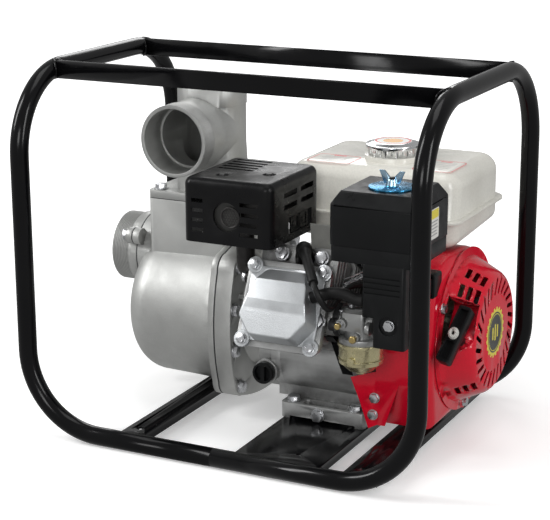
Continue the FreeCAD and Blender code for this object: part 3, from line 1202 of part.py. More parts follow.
def fuel_tank():
    """Two pressed halves joined at a lip, with a filler neck and mounting feet."""
    x, y = TANK_X, TANK_Y
    seam = TANK_SEAM_Z
    crown = [(y[0], seam), (y[0] + 11, TANK_Z[1]), (y[1], TANK_Z[1]), (y[1], seam)]
    floor = [(y[0] + 2, seam), (y[0] + 6, TANK_Z[0]), (y[1] - 2, TANK_Z[0] + 8), (y[1], seam)]
    inner_crown = [(y[0] + 3, seam), (y[0] + 14, TANK_Z[1] - 3), (y[1] - 3, TANK_Z[1] - 3), (y[1] - 3, seam)]
    inner_floor = [(y[0] + 5, seam + 2), (y[0] + 9, TANK_Z[0] + 3), (y[1] - 5, TANK_Z[0] + 11), (y[1] - 4, seam + 2)]
    lip = rounded_box((x[0] - TANK_LIP, x[1] + TANK_LIP), (y[0] - TANK_LIP, y[1] + TANK_LIP),
                      (seam - 1.5, seam + 1.5), 28.0, Z_AXIS)
    neck = rod(Z_AXIS, (*CAP_AT, TANK_Z[1] - 2), 8.0, 34.0)
    body = join([tank_half(crown, 26.0, 20.0, 0.0), tank_half(floor, 24.0, 13.0, 0.0), lip, neck])
    tools = [tank_half(inner_crown, 23.0, 17.0, 3.0), tank_half(inner_floor, 22.0, 9.0, 4.0),
             rod(Z_AXIS, (*CAP_AT, TANK_Z[1] - 10), 20.0, 22.0)]
    feet = [rod(Z_AXIS, (fx, fy, TANK_POST_Z), 20.0, 9.0) for fx, fy in tank_feet()]
    body = join([body] + feet)
    return cut_all(body, tools)


def tank_feet():
    return [(50.0, 40.0), (118.0, 40.0), (84.0, 84.0)]


TANK_POST_Z = 226.0


def tank_posts():
    """Posts on the crankcase that carry the tank feet."""
    return [rod(Z_AXIS, (fx, fy, CRANK_Z + 60), TANK_POST_Z - CRANK_Z - 60, 9.7) for fx, fy in tank_feet()]


def fuel_cap():
    """Fluted steel cap over the filler neck."""
    z = TANK_Z[1] + 6.2
    x, y = CAP_AT
    skirt = rod(Z_AXIS, (x, y, z), 9.0, 30.0)
    flutes = [rod(Z_AXIS, (x + 31.5 * math.cos(a), y + 31.5 * math.sin(a), z - 1), 11.0, 4.5)
              for a in [2 * math.pi * i / 14 for i in range(14)]]
    skirt = cut_all(skirt, flutes)
    rim = rod(Z_AXIS, (x, y, z + 9), 4.0, 33.0)
    dome = cone(Z_AXIS, (x, y, z + 13), 3.0, 31.5, 24.0)
    plug = rod(Z_AXIS, (x, y, z - 12), 13.0, 22.0 - 0.1)
    return join([skirt, rim, dome, plug])


# ------------------------------------------------------------------ fan housing and starter
def fan_outline(x0, x1, shrink):
    """Drum round the flywheel, carried forward to a flat front face with sloped shoulders."""
    drum = crank_rod(x0, x1, FAN_R - shrink)
    front = FAN_FRONT_Y + shrink
    top = CRANK_Z + FAN_R - shrink
    bottom = CRANK_Z - FAN_R + shrink
    corners = [(CRANK_Y, top), (8.0, top), (front + 11, 214.0 - shrink), (front, 203.0 - shrink),
               (front, 88.0 + shrink), (front + 14, bottom), (CRANK_Y, bottom)]
    return join([drum, polygon_prism([V(x0, y, z) for y, z in corners], V(x1 - x0, 0, 0))])


def fan_shell(shrink, round_r):
    """Fan cover solid with its starter-side edge rounded over."""
    x0 = FAN_X[0] - shrink
    x1 = FAN_X[1] - shrink
    shape = fan_outline(x0, x1, shrink)
    rim = [e for e in shape.Edges if e.BoundBox.XLength < 1e-3 and abs(e.BoundBox.XMin - x1) < 1e-3]
    return shape.makeFillet(round_r, rim)


def fan_cover():
    x0, x1 = FAN_X
    apron = polygon_prism([V(118.0, FAN_FRONT_Y, 88.0), V(x0 + 2, FAN_FRONT_Y, 100.0), V(x0 + 2, FAN_FRONT_Y, 34.0),
                           V(141.0, FAN_FRONT_Y, 28.0), V(130.0, FAN_FRONT_Y, 60.0)], V(0, SHEET, 0))
    chin = polygon_prism([V(x0, FAN_FRONT_Y, 34.0), V(x0, FAN_FRONT_Y, 90.0), V(x0 + 30, FAN_FRONT_Y, 90.0),
                          V(x0 + 12, FAN_FRONT_Y, 34.0)], V(0, SHEET, 0))
    body = join([fan_shell(0.0, 11.0), apron, chin])
    opening = crank_rod(x1 - 10, x1 + 1, 84.0)
    back = box((x0 - 1, x0 + 20), (CRANK_Y + 30, 200.0), (0.0, 40.0))
    tools = [fan_shell(SHEET, 11.0 - SHEET), opening, back]
    tools += [bolt_hole(X_AXIS, (RECOIL_X[0] + SHEET, y, z), 6.0, 12.0) for y, z in recoil_bolts()]
    tools += [bolt_hole(Y_AXIS * -1, (x, FAN_FRONT_Y, z), 6.0, 10.0) for x, z in FAN_BOLTS]
    tools.append(rod(lead_route()[-1] - lead_route()[-2], lead_route()[-2], 30.0, 5.0))
    return max(cut_all(body, tools).Solids, key=lambda s: s.Volume)


def recoil_bolts():
    return [(CRANK_Y + 92 * math.cos(a), CRANK_Z + 92 * math.sin(a))
            for a in [math.radians(d) for d in (150.0, 30.0, 270.0)]]


FAN_BOLTS = ((149.0, 67.0), (147.0, 46.0))


def pull_direction():
    slope = math.radians(PULL_SLOPE_DEG)
    return V(0, -math.cos(slope), math.sin(slope))


def pull_side():
    """Square to the pull, towards the top, in the reel's plane."""
    slope = math.radians(PULL_SLOPE_DEG)
    return V(0, math.sin(slope), math.cos(slope))


ROPE_FOOT = V(REEL_X, CRANK_Y, CRANK_Z) - pull_side() * REEL_ROPE_R


def rope_point(reach):
    return ROPE_FOOT + pull_direction() * reach


def handle_pocket(grow):
    """Recess that the pull handle sits in."""
    side = pull_side()
    pull = pull_direction()
    base = ROPE_FOOT + pull * (60.5 - grow)
    low = base - side * (48.0 + grow)
    high = base + side * (44.0 + grow)
    points = [low, high, high + pull * 60, low + pull * 60]
    points = [V(REEL_X - 16.5, p.y, p.z) for p in points]
    return polygon_prism(points, V(33.0 + grow, 0, 0))


def recoil_body(inset):
    x0, x1 = RECOIL_X
    start = x0 if inset else x0 + SHEET
    profile = [(start, 0), (start, RECOIL_R[1] - inset), (x0 + SHEET, RECOIL_R[1] - inset),
               (x1 - 6 - inset / 2, RECOIL_R[2] - inset), (x1 - 2.5 - inset, RECOIL_R[2] - 3 - inset),
               (x1 - inset, RECOIL_R[2] - 7 - inset), (x1 - inset, 0)]
    if not inset:
        del profile[1]
    return turned(profile, CRANK_Y, CRANK_Z).cut(handle_pocket(inset))


def recoil_slots():
    """Swept slots in the face and the rectangular vents in the cone."""
    tools = []
    for step in range(26):
        slot = rounded_box((RECOIL_X[1] - 6, RECOIL_X[1] + 1), (-2.7, 2.7), (45.0, 67.0), 2.6, X_AXIS)
        slot.rotate(V(0, 0, 56.0), X_AXIS, -26)
        slot.rotate(V(0, 0, 0), X_AXIS, 360 / 26 * step)
        tools.append(slot)
    for angle in (20.5, 40.5, 137.0):
        for x in (232.0, 240.8, 249.6):
            vent = box((x - 2.7, x + 2.7), (-9.0, 9.0), (66.0, 102.0))
            vent = vent.makeFillet(1.6, edges_along(vent, Z_AXIS))
            vent.rotate(V(0, 0, 0), X_AXIS, angle)
            tools.append(vent)
    for tool in tools:
        tool.translate(V(0, CRANK_Y, CRANK_Z))
    return tools


def recoil_cover():
    """Starter housing: flange, cone, vented face, centre post and rope guide."""
    x0, x1 = RECOIL_X
    skin = recoil_body(0.0).cut(recoil_body(SHEET))
    flange = crank_ring(x0, x0 + SHEET, RECOIL_R[0], RECOIL_R[1] - SHEET)
    seats = [rod(X_AXIS, (x0, y, z), SHEET, 8.0) for y, z in recoil_bolts()]
    clear = [rod(X_AXIS, (x0 + SHEET, y, z), 20.0, 8.0) for y, z in recoil_bolts()]
    post = crank_rod(REEL_X - 8, x1 - 1, 8.0)
    shell = cut_all(skin, recoil_slots() + clear)
    eyelet = Part.makeCylinder(7.0, 5.0, rope_point(56.5), pull_direction())
    hole = Part.makeCylinder(3.2, 12.0, rope_point(54.5), pull_direction())
    body = join([shell, flange, post, eyelet] + seats)
    body = cut_all(body, [hole] + [bolt_hole(X_AXIS, (x0 + SHEET, y, z), 6.0, 12.0) for y, z in recoil_bolts()])
    return max(body.Solids, key=lambda s: s.Volume)


def starter_reel():
    """Grooved reel on the housing post."""
    wide = crank_rod(REEL_X - 7, REEL_X - 3, 39.0)
    core = crank_rod(REEL_X - 3, REEL_X + 3, REEL_ROPE_R - ROPE_R - 0.3)
    wide2 = crank_rod(REEL_X + 3, REEL_X + 6, 39.0)
    return join([wide, core, wide2]).cut(crank_rod(REEL_X - 8, REEL_X + 8, 8.0 + RUN_GAP))


def recoil_spring():
    """Flat spiral spring between reel and housing, as semicircular strips."""
    strips = []
    x0 = REEL_X + 7.0
    radius = 10.0
    centre = 0.0
    for turn in range(10):
        strip = ring(X_AXIS, (x0, 0, centre), 6.0, radius + 0.6, radius - 0.6)
        half = (0.0, 60.0) if turn % 2 == 0 else (-60.0, 0.0)
        strips.append(strip.common(box((x0 - 1, x0 + 7), half, (-60.0, 60.0))))
        centre += 1.0 if turn % 2 == 0 else -1.0
        radius += 1.0
    spring = join(strips)
    spring.translate(V(0, CRANK_Y, CRANK_Z))
    return spring


def starter_rope():
    """Rope from the reel's rim, through the eyelet, to the handle."""
    start = rope_point(4.0)
    return Part.makeCylinder(ROPE_R, HANDLE_REACH + 10.5 - 4.0, start, pull_direction())


def starter_handle():
    """T-shaped grip whose stem seats on the housing eyelet."""
    pull = pull_direction()
    side = pull_side()
    middle = rope_point(HANDLE_REACH)
    tilt = X_AXIS * 0.2 + side
    tilt.normalize()
    across = pull.cross(tilt).normalize()
    grip_half = 35.0
    corners = []
    for along, wide in ((-grip_half, -8.0), (grip_half, -8.0), (grip_half, 8.0), (-grip_half, 8.0)):
        corners.append(middle - pull * 7 + tilt * along + across * wide)
    grip = polygon_prism(corners, pull * 14)
    grip = grip.makeFillet(3.5, edges_along(grip, pull))
    pocket = []
    for sign in (-1, 1):
        spots = []
        for along, wide in ((sign * 9, -5.2), (sign * 31, -5.2), (sign * 31, 5.2), (sign * 9, 5.2)):
            spots.append(middle + pull * 2 + tilt * along + across * wide)
        pocket.append(polygon_prism(spots, pull * 8))
    stem = Part.makeCylinder(7.5, 9.5, middle - pull * 16.5, pull)
    rope_way = Part.makeCylinder(ROPE_R + 0.4, 40.0, middle - pull * 20, pull)
    return cut_all(join([grip, stem]), pocket + [rope_way])


def flywheel():
    """Cast wheel with a rim, hub and curved cooling blades."""
    x0, x1 = FLYWHEEL_X
    shapes = [crank_ring(x0, x1, FLYWHEEL_R, 74.0), crank_ring(x0 + 12, x0 + 18, 75.0, 20.0),
              crank_ring(153.0, 200.0, 22.0, SHAFT_R)]
    for step in range(16):
        blade = box((x1 - 2, x1 + 16), (-1.5, 1.5), (54.0, FLYWHEEL_R - 2))
        blade.rotate(V(0, 0, 66.0), X_AXIS, 24)
        blade.rotate(V(0, 0, 0), X_AXIS, 22.5 * step)
        blade.translate(V(0, CRANK_Y, CRANK_Z))
        shapes.append(blade)
    shapes.append(crank_ring(x1 - 4, x1, FLYWHEEL_R - 2, 50.0))
    shapes.append(crank_ring(x0 + 17, x1, 56.0, 50.0))
    return join(shapes)


def starter_cup():
    """Pawl cup on the crank end, held by the flywheel nut."""
    cup = crank_ring(200.0, 222.0, 31.0, 29.0)
    floor = crank_ring(200.0, 203.0, 31.0, SHAFT_R)
    nut = hexagon(X_AXIS, (205.0, CRANK_Y, CRANK_Z), 8.0, 22.0).cut(crank_rod(204.0, 214.0, 8.0))
    return Part.makeCompound([join([cup, floor]), nut])


def cover_bolts():
    """Bolts of the recoil cover, fan cover, guard and air cleaner bracket."""
    bolts = [flange_bolt(X_AXIS, (RECOIL_X[0] + SHEET, y, z), 6.0, 11.0) for y, z in recoil_bolts()]
    z1 = GUARD[1][2]
    bolts += [flange_bolt(Z_AXIS, (x, y, z1 - 2), 4.0, 4.5) for x, y in guard_screws()]
    bolts.append(flange_bolt(Y_AXIS * -1, (DUCT_X[1] - 19, DUCT_Y[0] + 3, 184.5), 6.0, 13.0))
    return Part.makeCompound(bolts)


# ------------------------------------------------------------------ engine speed control
SPEED_PIVOT = (131.0, -22.0, 218.0)


def speed_lever():
    """Lever that sets engine speed, on a stud of the crankcase."""
    x, y, z = SPEED_PIVOT
    hub = ring(Z_AXIS, (0, 0, z), 4.0, 6.5, 3.0 + RUN_GAP)
    arm = box((-3.5, 3.5), (-18.0, -5.0), (z + 0.5, z + 3.0))
    tip = rod(Z_AXIS, (0, -18.0, z + 0.5), 8.0, 4.0)
    shape = join([hub, arm, tip])
    shape.rotate(V(0, 0, 0), Z_AXIS, -15)
    shape.translate(V(x, y, 0))
    return shape


def speed_stud():
    x, y, z = SPEED_PIVOT
    return join([rod(Z_AXIS, (x, y, z - 60), 59.9, 6.5), rod(Z_AXIS, (x, y, z - 1), 9.0, 3.0)])


# ------------------------------------------------------------------ write one STEP per piece
def build():
    left, centre, right = base_members()
    case = join([crankcase()] + tank_posts() + [speed_stud()])
    case = cut_all(case, [case_profile(CASE_X[0] - 1, CASE_X[1] - 12 - CASE_X[0] + 1, CASE_WALL),
                          lean(rod(Z_AXIS, (CYL_X, 0, 40.0), DECK_N - 39, BORE_R + RUN_GAP))])
    return {
        "frame_tube_left": frame_tube(-1), "frame_tube_right": frame_tube(1), "frame_top_rails": top_rails(),
        "base_channel_left": left, "base_plate_center": centre, "base_channel_right": right,
        "pump_casing": pump_casing(), "pump_rear_cover": rear_cover(), "pump_gaskets": pump_gaskets(),
        "pump_bolts": pump_bolts(), "suction_port": suction_port(), "check_valve_flap": check_valve_flap(),
        "discharge_elbow": discharge_elbow(), "priming_cap": priming_cap(), "volute": volute(),
        "impeller": impeller(), "shaft_seal": shaft_seal(), "crankcase": case, "side_cover": side_cover(),
        "oil_filler_cap": oil_filler_cap(), "crankshaft": crankshaft(), "main_bearings": main_bearings(),
        "camshaft": camshaft(), "piston": piston(), "connecting_rod": connecting_rod(),
        "cylinder_head": cylinder_head(), "valves": valves(), "rocker_gear": rocker_gear(),
        "valve_cover": valve_cover(), "engine_bolts": engine_bolts(), "muffler": muffler(),
        "muffler_guard": muffler_guard(), "spark_plug": spark_plug(), "spark_plug_cap": spark_plug_cap(),
        "ignition_lead": ignition_lead(), "ignition_coil": ignition_coil(), "switch_housing": switch_housing(),
        "switch_rocker": switch_rocker(), "carburettor": carburettor(), "float_bowl": float_bowl(),
        "throttle_lever": throttle_lever(), "choke_lever": choke_lever(), "fuel_tap_lever": fuel_tap_lever(),
        "air_cleaner_base": air_cleaner_base(), "air_cleaner_cover": air_cleaner_cover(),
        "air_filter": air_filter(), "wing_nut": wing_nut(), "breather_hose": breather_hose(),
        "fuel_tank": fuel_tank(), "fuel_cap": fuel_cap(), "fan_cover": fan_cover(),
        "recoil_cover": recoil_cover(), "cover_bolts": cover_bolts(), "flywheel": flywheel(),
        "starter_cup": starter_cup(), "starter_reel": starter_reel(), "recoil_spring": recoil_spring(),
        "starter_rope": starter_rope(), "starter_handle": starter_handle(), "speed_lever": speed_lever(),
    }


os.makedirs("parts", exist_ok=True)
for name, shape in build().items():
    shape.exportStep(f"parts/{name}.step")
    box_size = shape.BoundBox
    print(f"{name:20s} solids {len(shape.Solids):2d} valid {shape.isValid()} volume {shape.Volume / 1000:9.2f} cm3 "
          f"x {box_size.XMin:7.1f} {box_size.XMax:7.1f} y {box_size.YMin:7.1f} {box_size.YMax:7.1f} "
          f"z {box_size.ZMin:7.1f} {box_size.ZMax:7.1f}")
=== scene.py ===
import json
import math
import bpy
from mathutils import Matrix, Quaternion, Vector


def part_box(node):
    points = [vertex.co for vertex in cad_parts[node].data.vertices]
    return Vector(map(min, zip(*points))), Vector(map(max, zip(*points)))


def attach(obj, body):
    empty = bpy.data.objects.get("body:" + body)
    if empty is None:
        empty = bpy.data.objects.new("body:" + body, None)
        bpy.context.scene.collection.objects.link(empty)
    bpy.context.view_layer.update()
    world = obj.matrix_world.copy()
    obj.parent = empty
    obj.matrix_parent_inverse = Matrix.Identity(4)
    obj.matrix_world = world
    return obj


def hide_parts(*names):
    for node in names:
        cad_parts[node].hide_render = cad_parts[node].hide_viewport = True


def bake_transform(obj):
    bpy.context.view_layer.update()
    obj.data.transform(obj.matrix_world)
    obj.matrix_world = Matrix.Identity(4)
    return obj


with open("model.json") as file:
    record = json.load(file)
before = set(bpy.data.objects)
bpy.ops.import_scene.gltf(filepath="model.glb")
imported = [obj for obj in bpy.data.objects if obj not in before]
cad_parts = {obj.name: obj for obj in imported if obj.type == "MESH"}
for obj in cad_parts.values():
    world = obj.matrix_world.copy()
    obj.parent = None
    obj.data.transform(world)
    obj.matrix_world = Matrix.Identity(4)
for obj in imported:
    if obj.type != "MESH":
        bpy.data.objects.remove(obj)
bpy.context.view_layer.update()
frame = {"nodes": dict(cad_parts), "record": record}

NODES = frame["nodes"]
RECORD = frame["record"]
MM = 0.001
WORLD_LIGHT = 0.38
CORNER_SHADE_REACH = 26.0          # how far into a corner the painted shade reaches, mm
STICKER = 0.0001            # thickness of printed shapes, m
TANK_PRINT_Z = 0.32105      # just above the flat top of the fuel tank, m
THREAD_PITCH = 0.00231      # 11 turns to the inch, m
THREAD_ROOT = 0.0434        # radius below which a port has no thread, m
PORT_CENTRES = {0: (0.051, 0.182), 1: (-0.120, 0.346)}      # by port axis, in the other two axes, m
STARTER_CENTRE = Vector((0.238, 0.050, 0.131))
ROPE_WRAP = 0.0368          # reel radius at which the rope leaves, m
TUBE_RADIUS = 0.0110        # frame tube, m
RAIL_Y = 0.1035             # weld line of the top rails, m


# ------------------------------------------------------------------ materials
class Nodes:
    """Small helper that builds one shader node tree."""

    def __init__(self, name):
        self.material = bpy.data.materials.new(name)
        self.material.use_nodes = True
        self.tree = self.material.node_tree
        self.tree.nodes.clear()
        self.shader = self.add("ShaderNodeBsdfPrincipled")
        output = self.add("ShaderNodeOutputMaterial")
        self.link(self.shader.outputs[0], output.inputs["Surface"])
        self.place = self.add("ShaderNodeTexCoord").outputs["Object"]

    def add(self, kind, **values):
        node = self.tree.nodes.new(kind)
        for key, value in values.items():
            setattr(node, key, value)
        return node

    def link(self, source, target):
        self.tree.links.new(source, target)

    def noise(self, size_mm, detail=3.0, roughness=0.55, stretch=None):
        node = self.add("ShaderNodeTexNoise")
        node.inputs["Scale"].default_value = 1.0 / (size_mm * MM)
        node.inputs["Detail"].default_value = detail
        node.inputs["Roughness"].default_value = roughness
        if stretch:
            mapping = self.add("ShaderNodeMapping")
            mapping.inputs["Scale"].default_value = stretch
            self.link(self.place, mapping.inputs["Vector"])
            self.link(mapping.outputs[0], node.inputs["Vector"])
        else:
            self.link(self.place, node.inputs["Vector"])
        return node.outputs["Fac"]

    def span(self, value, low, high, to_low, to_high):
        node = self.add("ShaderNodeMapRange", clamp=True)
        self.link(value, node.inputs["Value"])
        for key, number in (("From Min", low), ("From Max", high), ("To Min", to_low), ("To Max", to_high)):
            node.inputs[key].default_value = number
        return node.outputs[0]

    def maths(self, operation, a, b=None):
        node = self.add("ShaderNodeMath", operation=operation)
        for socket, value in zip(node.inputs, (a, b)):
            if isinstance(value, (int, float)):
                socket.default_value = value
            elif value is not None:
                self.link(value, socket)
        return node.outputs[0]

    def mix(self, factor, a, b):
        node = self.add("ShaderNodeMix", data_type="RGBA")
        self.link(factor, node.inputs["Factor"])
        for socket, value in ((node.inputs[6], a), (node.inputs[7], b)):
            if isinstance(value, tuple):
                socket.default_value = (*value, 1.0)
            else:
                self.link(value, socket)
        return node.outputs[2]

    def bump(self, height, distance_mm, strength=1.0, under=None):
        node = self.add("ShaderNodeBump")
        node.inputs["Strength"].default_value = strength
        node.inputs["Distance"].default_value = distance_mm * MM
        self.link(height, node.inputs["Height"])
        if under is not None:
            self.link(under, node.inputs["Normal"])
        return node.outputs[0]

    def edges(self, radius_mm, low=0.02, high=0.25):
        """1 along convex and concave edges, 0 on open faces."""
        bevel = self.add("ShaderNodeBevel", samples=4)
        bevel.inputs["Radius"].default_value = radius_mm * MM
        geometry = self.add("ShaderNodeNewGeometry")
        dot = self.add("ShaderNodeVectorMath", operation="DOT_PRODUCT")
        self.link(bevel.outputs[0], dot.inputs[0])
        self.link(geometry.outputs["Normal"], dot.inputs[1])
        return self.span(self.maths("SUBTRACT", 1.0, dot.outputs["Value"]), low, high, 0.0, 1.0)

    def corners(self, reach_mm, open_at=0.78, shut_at=0.30):
        """1 deep in corners and gaps, 0 on open faces: the mask for painted shade."""
        shade = self.add("ShaderNodeAmbientOcclusion", samples=6)
        shade.inputs["Distance"].default_value = reach_mm * MM
        return self.span(shade.outputs["AO"], shut_at, open_at, 1.0, 0.0)


def surface(name, colour, rough, metal=0.0, grain=0.6, depth=0.05, vary=0.12, worn=None, coat=0.0,
            mottle=60.0, rough_vary=0.10, stretch=None, wear=0.35, sheen=0.0, shine=0.5, corner_shade=0.0):
    """Mottled colour, uneven gloss, a fine relief and, where given, worn edges and painted shade in the corners."""
    n = Nodes(name)
    dark = tuple(c * (1.0 - vary) for c in colour)
    light = tuple(min(1.0, c * (1.0 + vary)) for c in colour)
    base = n.mix(n.span(n.noise(mottle, 4.0), 0.32, 0.68, 0.0, 1.0), dark, light)
    fine = n.noise(grain, 3.0, 0.6, stretch)
    base = n.mix(n.span(fine, 0.35, 0.75, 0.0, 0.35), base, tuple(c * 0.72 for c in colour))
    gloss = n.span(n.noise(mottle * 0.4, 5.0, 0.65), 0.3, 0.7, rough - rough_vary, rough + rough_vary)
    if worn:
        edge = n.maths("MULTIPLY", n.edges(0.9), n.span(n.noise(5.0, 4.0), 0.42, 0.62, 0.0, wear))
        base = n.mix(edge, base, worn)
    # painted shade: corners and gaps found by ambient occlusion are darkened in patches towards near-black (0.022,
    # 0.020, 0.017) and made rougher
    if corner_shade:
        shade_patches = n.span(n.noise(7.0, 4.0), 0.30, 0.60, 0.55 * corner_shade, corner_shade)
        painted_shade = n.maths("MULTIPLY", n.corners(CORNER_SHADE_REACH), shade_patches)
        base = n.mix(painted_shade, base, (0.022, 0.020, 0.017))
        gloss = n.maths("ADD", gloss, n.maths("MULTIPLY", painted_shade, 0.25))
    n.link(base, n.shader.inputs["Base Color"])
    n.link(gloss, n.shader.inputs["Roughness"])
    n.link(n.bump(fine, depth), n.shader.inputs["Normal"])
    n.shader.inputs["Metallic"].default_value = metal
    n.shader.inputs["Specular IOR Level"].default_value = shine
    n.shader.inputs["Coat Weight"].default_value = coat
    n.shader.inputs["Coat Roughness"].default_value = 0.08
    if sheen:
        n.shader.inputs["Sheen Weight"].default_value = sheen
    return n


def threaded(name, colour, axis, start, end):
    """Sand-cast alloy with a machined screw thread between two places along an axis, its roots darkened with
    painted shade.
    """
    n = surface(name, colour, 0.46, 0.85, 0.9, 0.16, 0.10, (0.80, 0.81, 0.82), rough_vary=0.08, corner_shade=0.7)
    split = n.add("ShaderNodeSeparateXYZ")
    n.link(n.place, split.inputs[0])
    along = split.outputs[axis]
    inside = n.maths("MULTIPLY", n.maths("GREATER_THAN", along, start), n.maths("LESS_THAN", along, end))
    others = [split.outputs[i] for i in range(3) if i != axis]
    reach = [n.maths("SUBTRACT", value, middle) for value, middle in zip(others, PORT_CENTRES[axis])]
    radius = n.maths("SQRT", n.maths("ADD", n.maths("MULTIPLY", reach[0], reach[0]),
                                     n.maths("MULTIPLY", reach[1], reach[1])))
    outside = n.maths("GREATER_THAN", radius, THREAD_ROOT)
    mask = n.maths("MULTIPLY", inside, outside)
    turn = n.maths("ARCTAN2", reach[1], reach[0])
    phase = n.maths("ADD", n.maths("MULTIPLY", along, 2 * math.pi / THREAD_PITCH), turn)
    ridge = n.maths("MULTIPLY", n.maths("SINE", phase), mask)
    old = n.shader.inputs["Normal"].links[0].from_socket
    n.link(n.bump(ridge, 0.75, 1.0, old), n.shader.inputs["Normal"])
    base = n.shader.inputs["Base Color"].links[0].from_socket
    # painted shade: the thread's roots are mixed towards dark grey (0.16) where the ridge dips
    thread_root_shade = n.maths("MULTIPLY", n.span(ridge, -1.0, 0.0, 0.55, 0.0), mask)
    n.link(n.mix(thread_root_shade, base, (0.16, 0.16, 0.16)), n.shader.inputs["Base Color"])
    return n


def make_materials():
    """One finish for each slot of the record, and for the pieces that only the visual has."""
    cast = (0.56, 0.565, 0.55)
    bare = (0.80, 0.81, 0.82)
    m = {
        "frame_paint": surface("frame_paint", (0.003, 0.003, 0.0035), 0.17, 0.0, 3.0, 0.015, 0.2,
                               (0.02, 0.02, 0.02), rough_vary=0.05, wear=0.5, shine=0.22),
        "cast_alloy": surface("cast_alloy", cast, 0.50, 0.75, 0.9, 0.16, 0.10, bare, rough_vary=0.08, corner_shade=0.75),
        "suction": threaded("suction_alloy", cast, 0, -0.246, -0.2205),
        "discharge": threaded("discharge_alloy", cast, 1, -0.050, -0.0255),
        "engine_alloy": surface("engine_alloy", (0.50, 0.505, 0.50), 0.44, 0.8, 0.7, 0.12, 0.14, bare,
                                mottle=35.0, corner_shade=0.9),
        "bright_alloy": cover_material(),
        "zinc_steel": surface("zinc_steel", (0.68, 0.69, 0.71), 0.30, 1.0, 1.2, 0.03, 0.12, (0.9, 0.9, 0.92),
                              mottle=9.0, corner_shade=0.6),
        "black_enamel": surface("black_enamel", (0.005, 0.005, 0.0055), 0.32, 0.0, 1.6, 0.03, 0.2,
                                (0.05, 0.05, 0.05), shine=0.20),
        "muffler_steel": surface("muffler_steel", (0.045, 0.043, 0.042), 0.48, 0.7, 1.5, 0.06, 0.3,
                                 (0.2, 0.19, 0.18), mottle=18.0),
        "black_plastic": surface("black_plastic", (0.008, 0.0085, 0.009), 0.36, 0.0, 0.45, 0.035, 0.12,
                                 (0.022, 0.022, 0.022), shine=0.18),
        "black_rubber": surface("black_rubber", (0.008, 0.008, 0.008), 0.46, 0.0, 0.8, 0.04, 0.2, rough_vary=0.12,
                                mottle=20.0, shine=0.25),
        "red_paint": surface("red_paint", (0.66, 0.003, 0.022), 0.22, 0.0, 2.2, 0.02, 0.08,
                             (0.62, 0.07, 0.07), coat=0.5, rough_vary=0.06, wear=0.3, shine=0.25, corner_shade=0.55),
        "cream_paint": surface("cream_paint", (0.78, 0.765, 0.70), 0.20, 0.0, 2.5, 0.02, 0.03,
                               (0.85, 0.84, 0.80), rough_vary=0.05, wear=0.2, shine=0.45),
        "cap_steel": surface("cap_steel", (0.75, 0.76, 0.77), 0.16, 1.0, 2.0, 0.01, 0.06, (0.9, 0.9, 0.9),
                             mottle=14.0, rough_vary=0.06),
        "gasket_fibre": surface("gasket_fibre", (0.035, 0.035, 0.038), 0.72, 0.0, 0.5, 0.06, 0.2),
        "grey_iron": surface("grey_iron", (0.30, 0.285, 0.20), 0.55, 0.55, 1.0, 0.10, 0.2, (0.5, 0.49, 0.42)),
        "machined_steel": surface("machined_steel", (0.55, 0.56, 0.58), 0.28, 1.0, 0.5, 0.02, 0.1,
                                  (0.8, 0.8, 0.8), stretch=(1.0, 8.0, 8.0)),
        "zinc_alloy": surface("zinc_alloy", (0.46, 0.465, 0.46), 0.38, 0.85, 0.6, 0.08, 0.16, bare,
                              mottle=16.0, corner_shade=0.85),
        "gold_plate": surface("gold_plate", (0.66, 0.60, 0.36), 0.26, 0.85, 1.1, 0.02, 0.14,
                              (0.85, 0.75, 0.5), mottle=14.0),
        "ceramic": surface("ceramic", (0.84, 0.82, 0.78), 0.15, 0.0, 1.5, 0.01, 0.05, coat=0.3),
        "filter_foam": surface("filter_foam", (0.05, 0.055, 0.06), 0.85, 0.0, 1.6, 0.5, 0.3, sheen=0.2),
        "reel_plastic": surface("reel_plastic", (0.03, 0.03, 0.032), 0.45, 0.0, 0.6, 0.04, 0.15, (0.1, 0.1, 0.1)),
        "rope_fibre": rope_material(),
        "blue_zinc": surface("blue_zinc", (0.16, 0.42, 0.62), 0.24, 0.95, 1.4, 0.02, 0.25,
                             (0.5, 0.7, 0.85), mottle=9.0),
        # painted light: the wing nut's blue plating is a lighter copy above z 0.3322 and a darker copy below it, a
        # lit top over a shaded base
        "wing_nut": split_finish("wing_nut_lit_top_shaded_base", ((0.05, 0.28, 0.50), 0.24, 0.95),
                                 ((0.42, 0.60, 0.74), 0.22, 1.0), 0.3322),
        "cover_bolts": split_finish("cover_bolt_finish", ((0.66, 0.67, 0.69), 0.28, 1.0),
                                    ((0.012, 0.012, 0.012), 0.42, 0.2), 0.300),
        "shroud_steel": surface("shroud_steel", (0.62, 0.62, 0.58), 0.38, 0.45, 1.2, 0.03, 0.08, bare, mottle=22.0),
        "carburettor": split_finish("carburettor_finish", ((0.012, 0.012, 0.013), 0.5, 0.0),
                                    ((0.42, 0.425, 0.42), 0.40, 0.85), 0.1296, 0),
        "brass": surface("brass", (0.62, 0.47, 0.20), 0.28, 1.0, 0.8, 0.02, 0.15, (0.85, 0.75, 0.5), mottle=8.0),
        "print_red": surface("print_red", (0.62, 0.03, 0.03), 0.35, 0.0, 0.5, 0.005, 0.06),
        "print_white": surface("print_white", (0.80, 0.79, 0.75), 0.32, 0.0, 0.6, 0.005, 0.03),
        "print_grey": surface("print_grey", (0.34, 0.34, 0.34), 0.36, 0.0, 0.5, 0.005, 0.08),
        "print_yellow": surface("print_yellow", (0.78, 0.66, 0.05), 0.30, 0.0, 0.6, 0.005, 0.05),
        "print_orange": surface("print_orange", (0.80, 0.40, 0.08), 0.32, 0.0, 0.6, 0.005, 0.05),
        # dark print on the starter badge, and painted shade in the guard's outlet
        "dark_print_and_shade": surface("dark_print_and_shade", (0.03, 0.03, 0.028), 0.34, 0.0, 0.6, 0.005, 0.1),
    }
    return {key: n.material for key, n in m.items()}


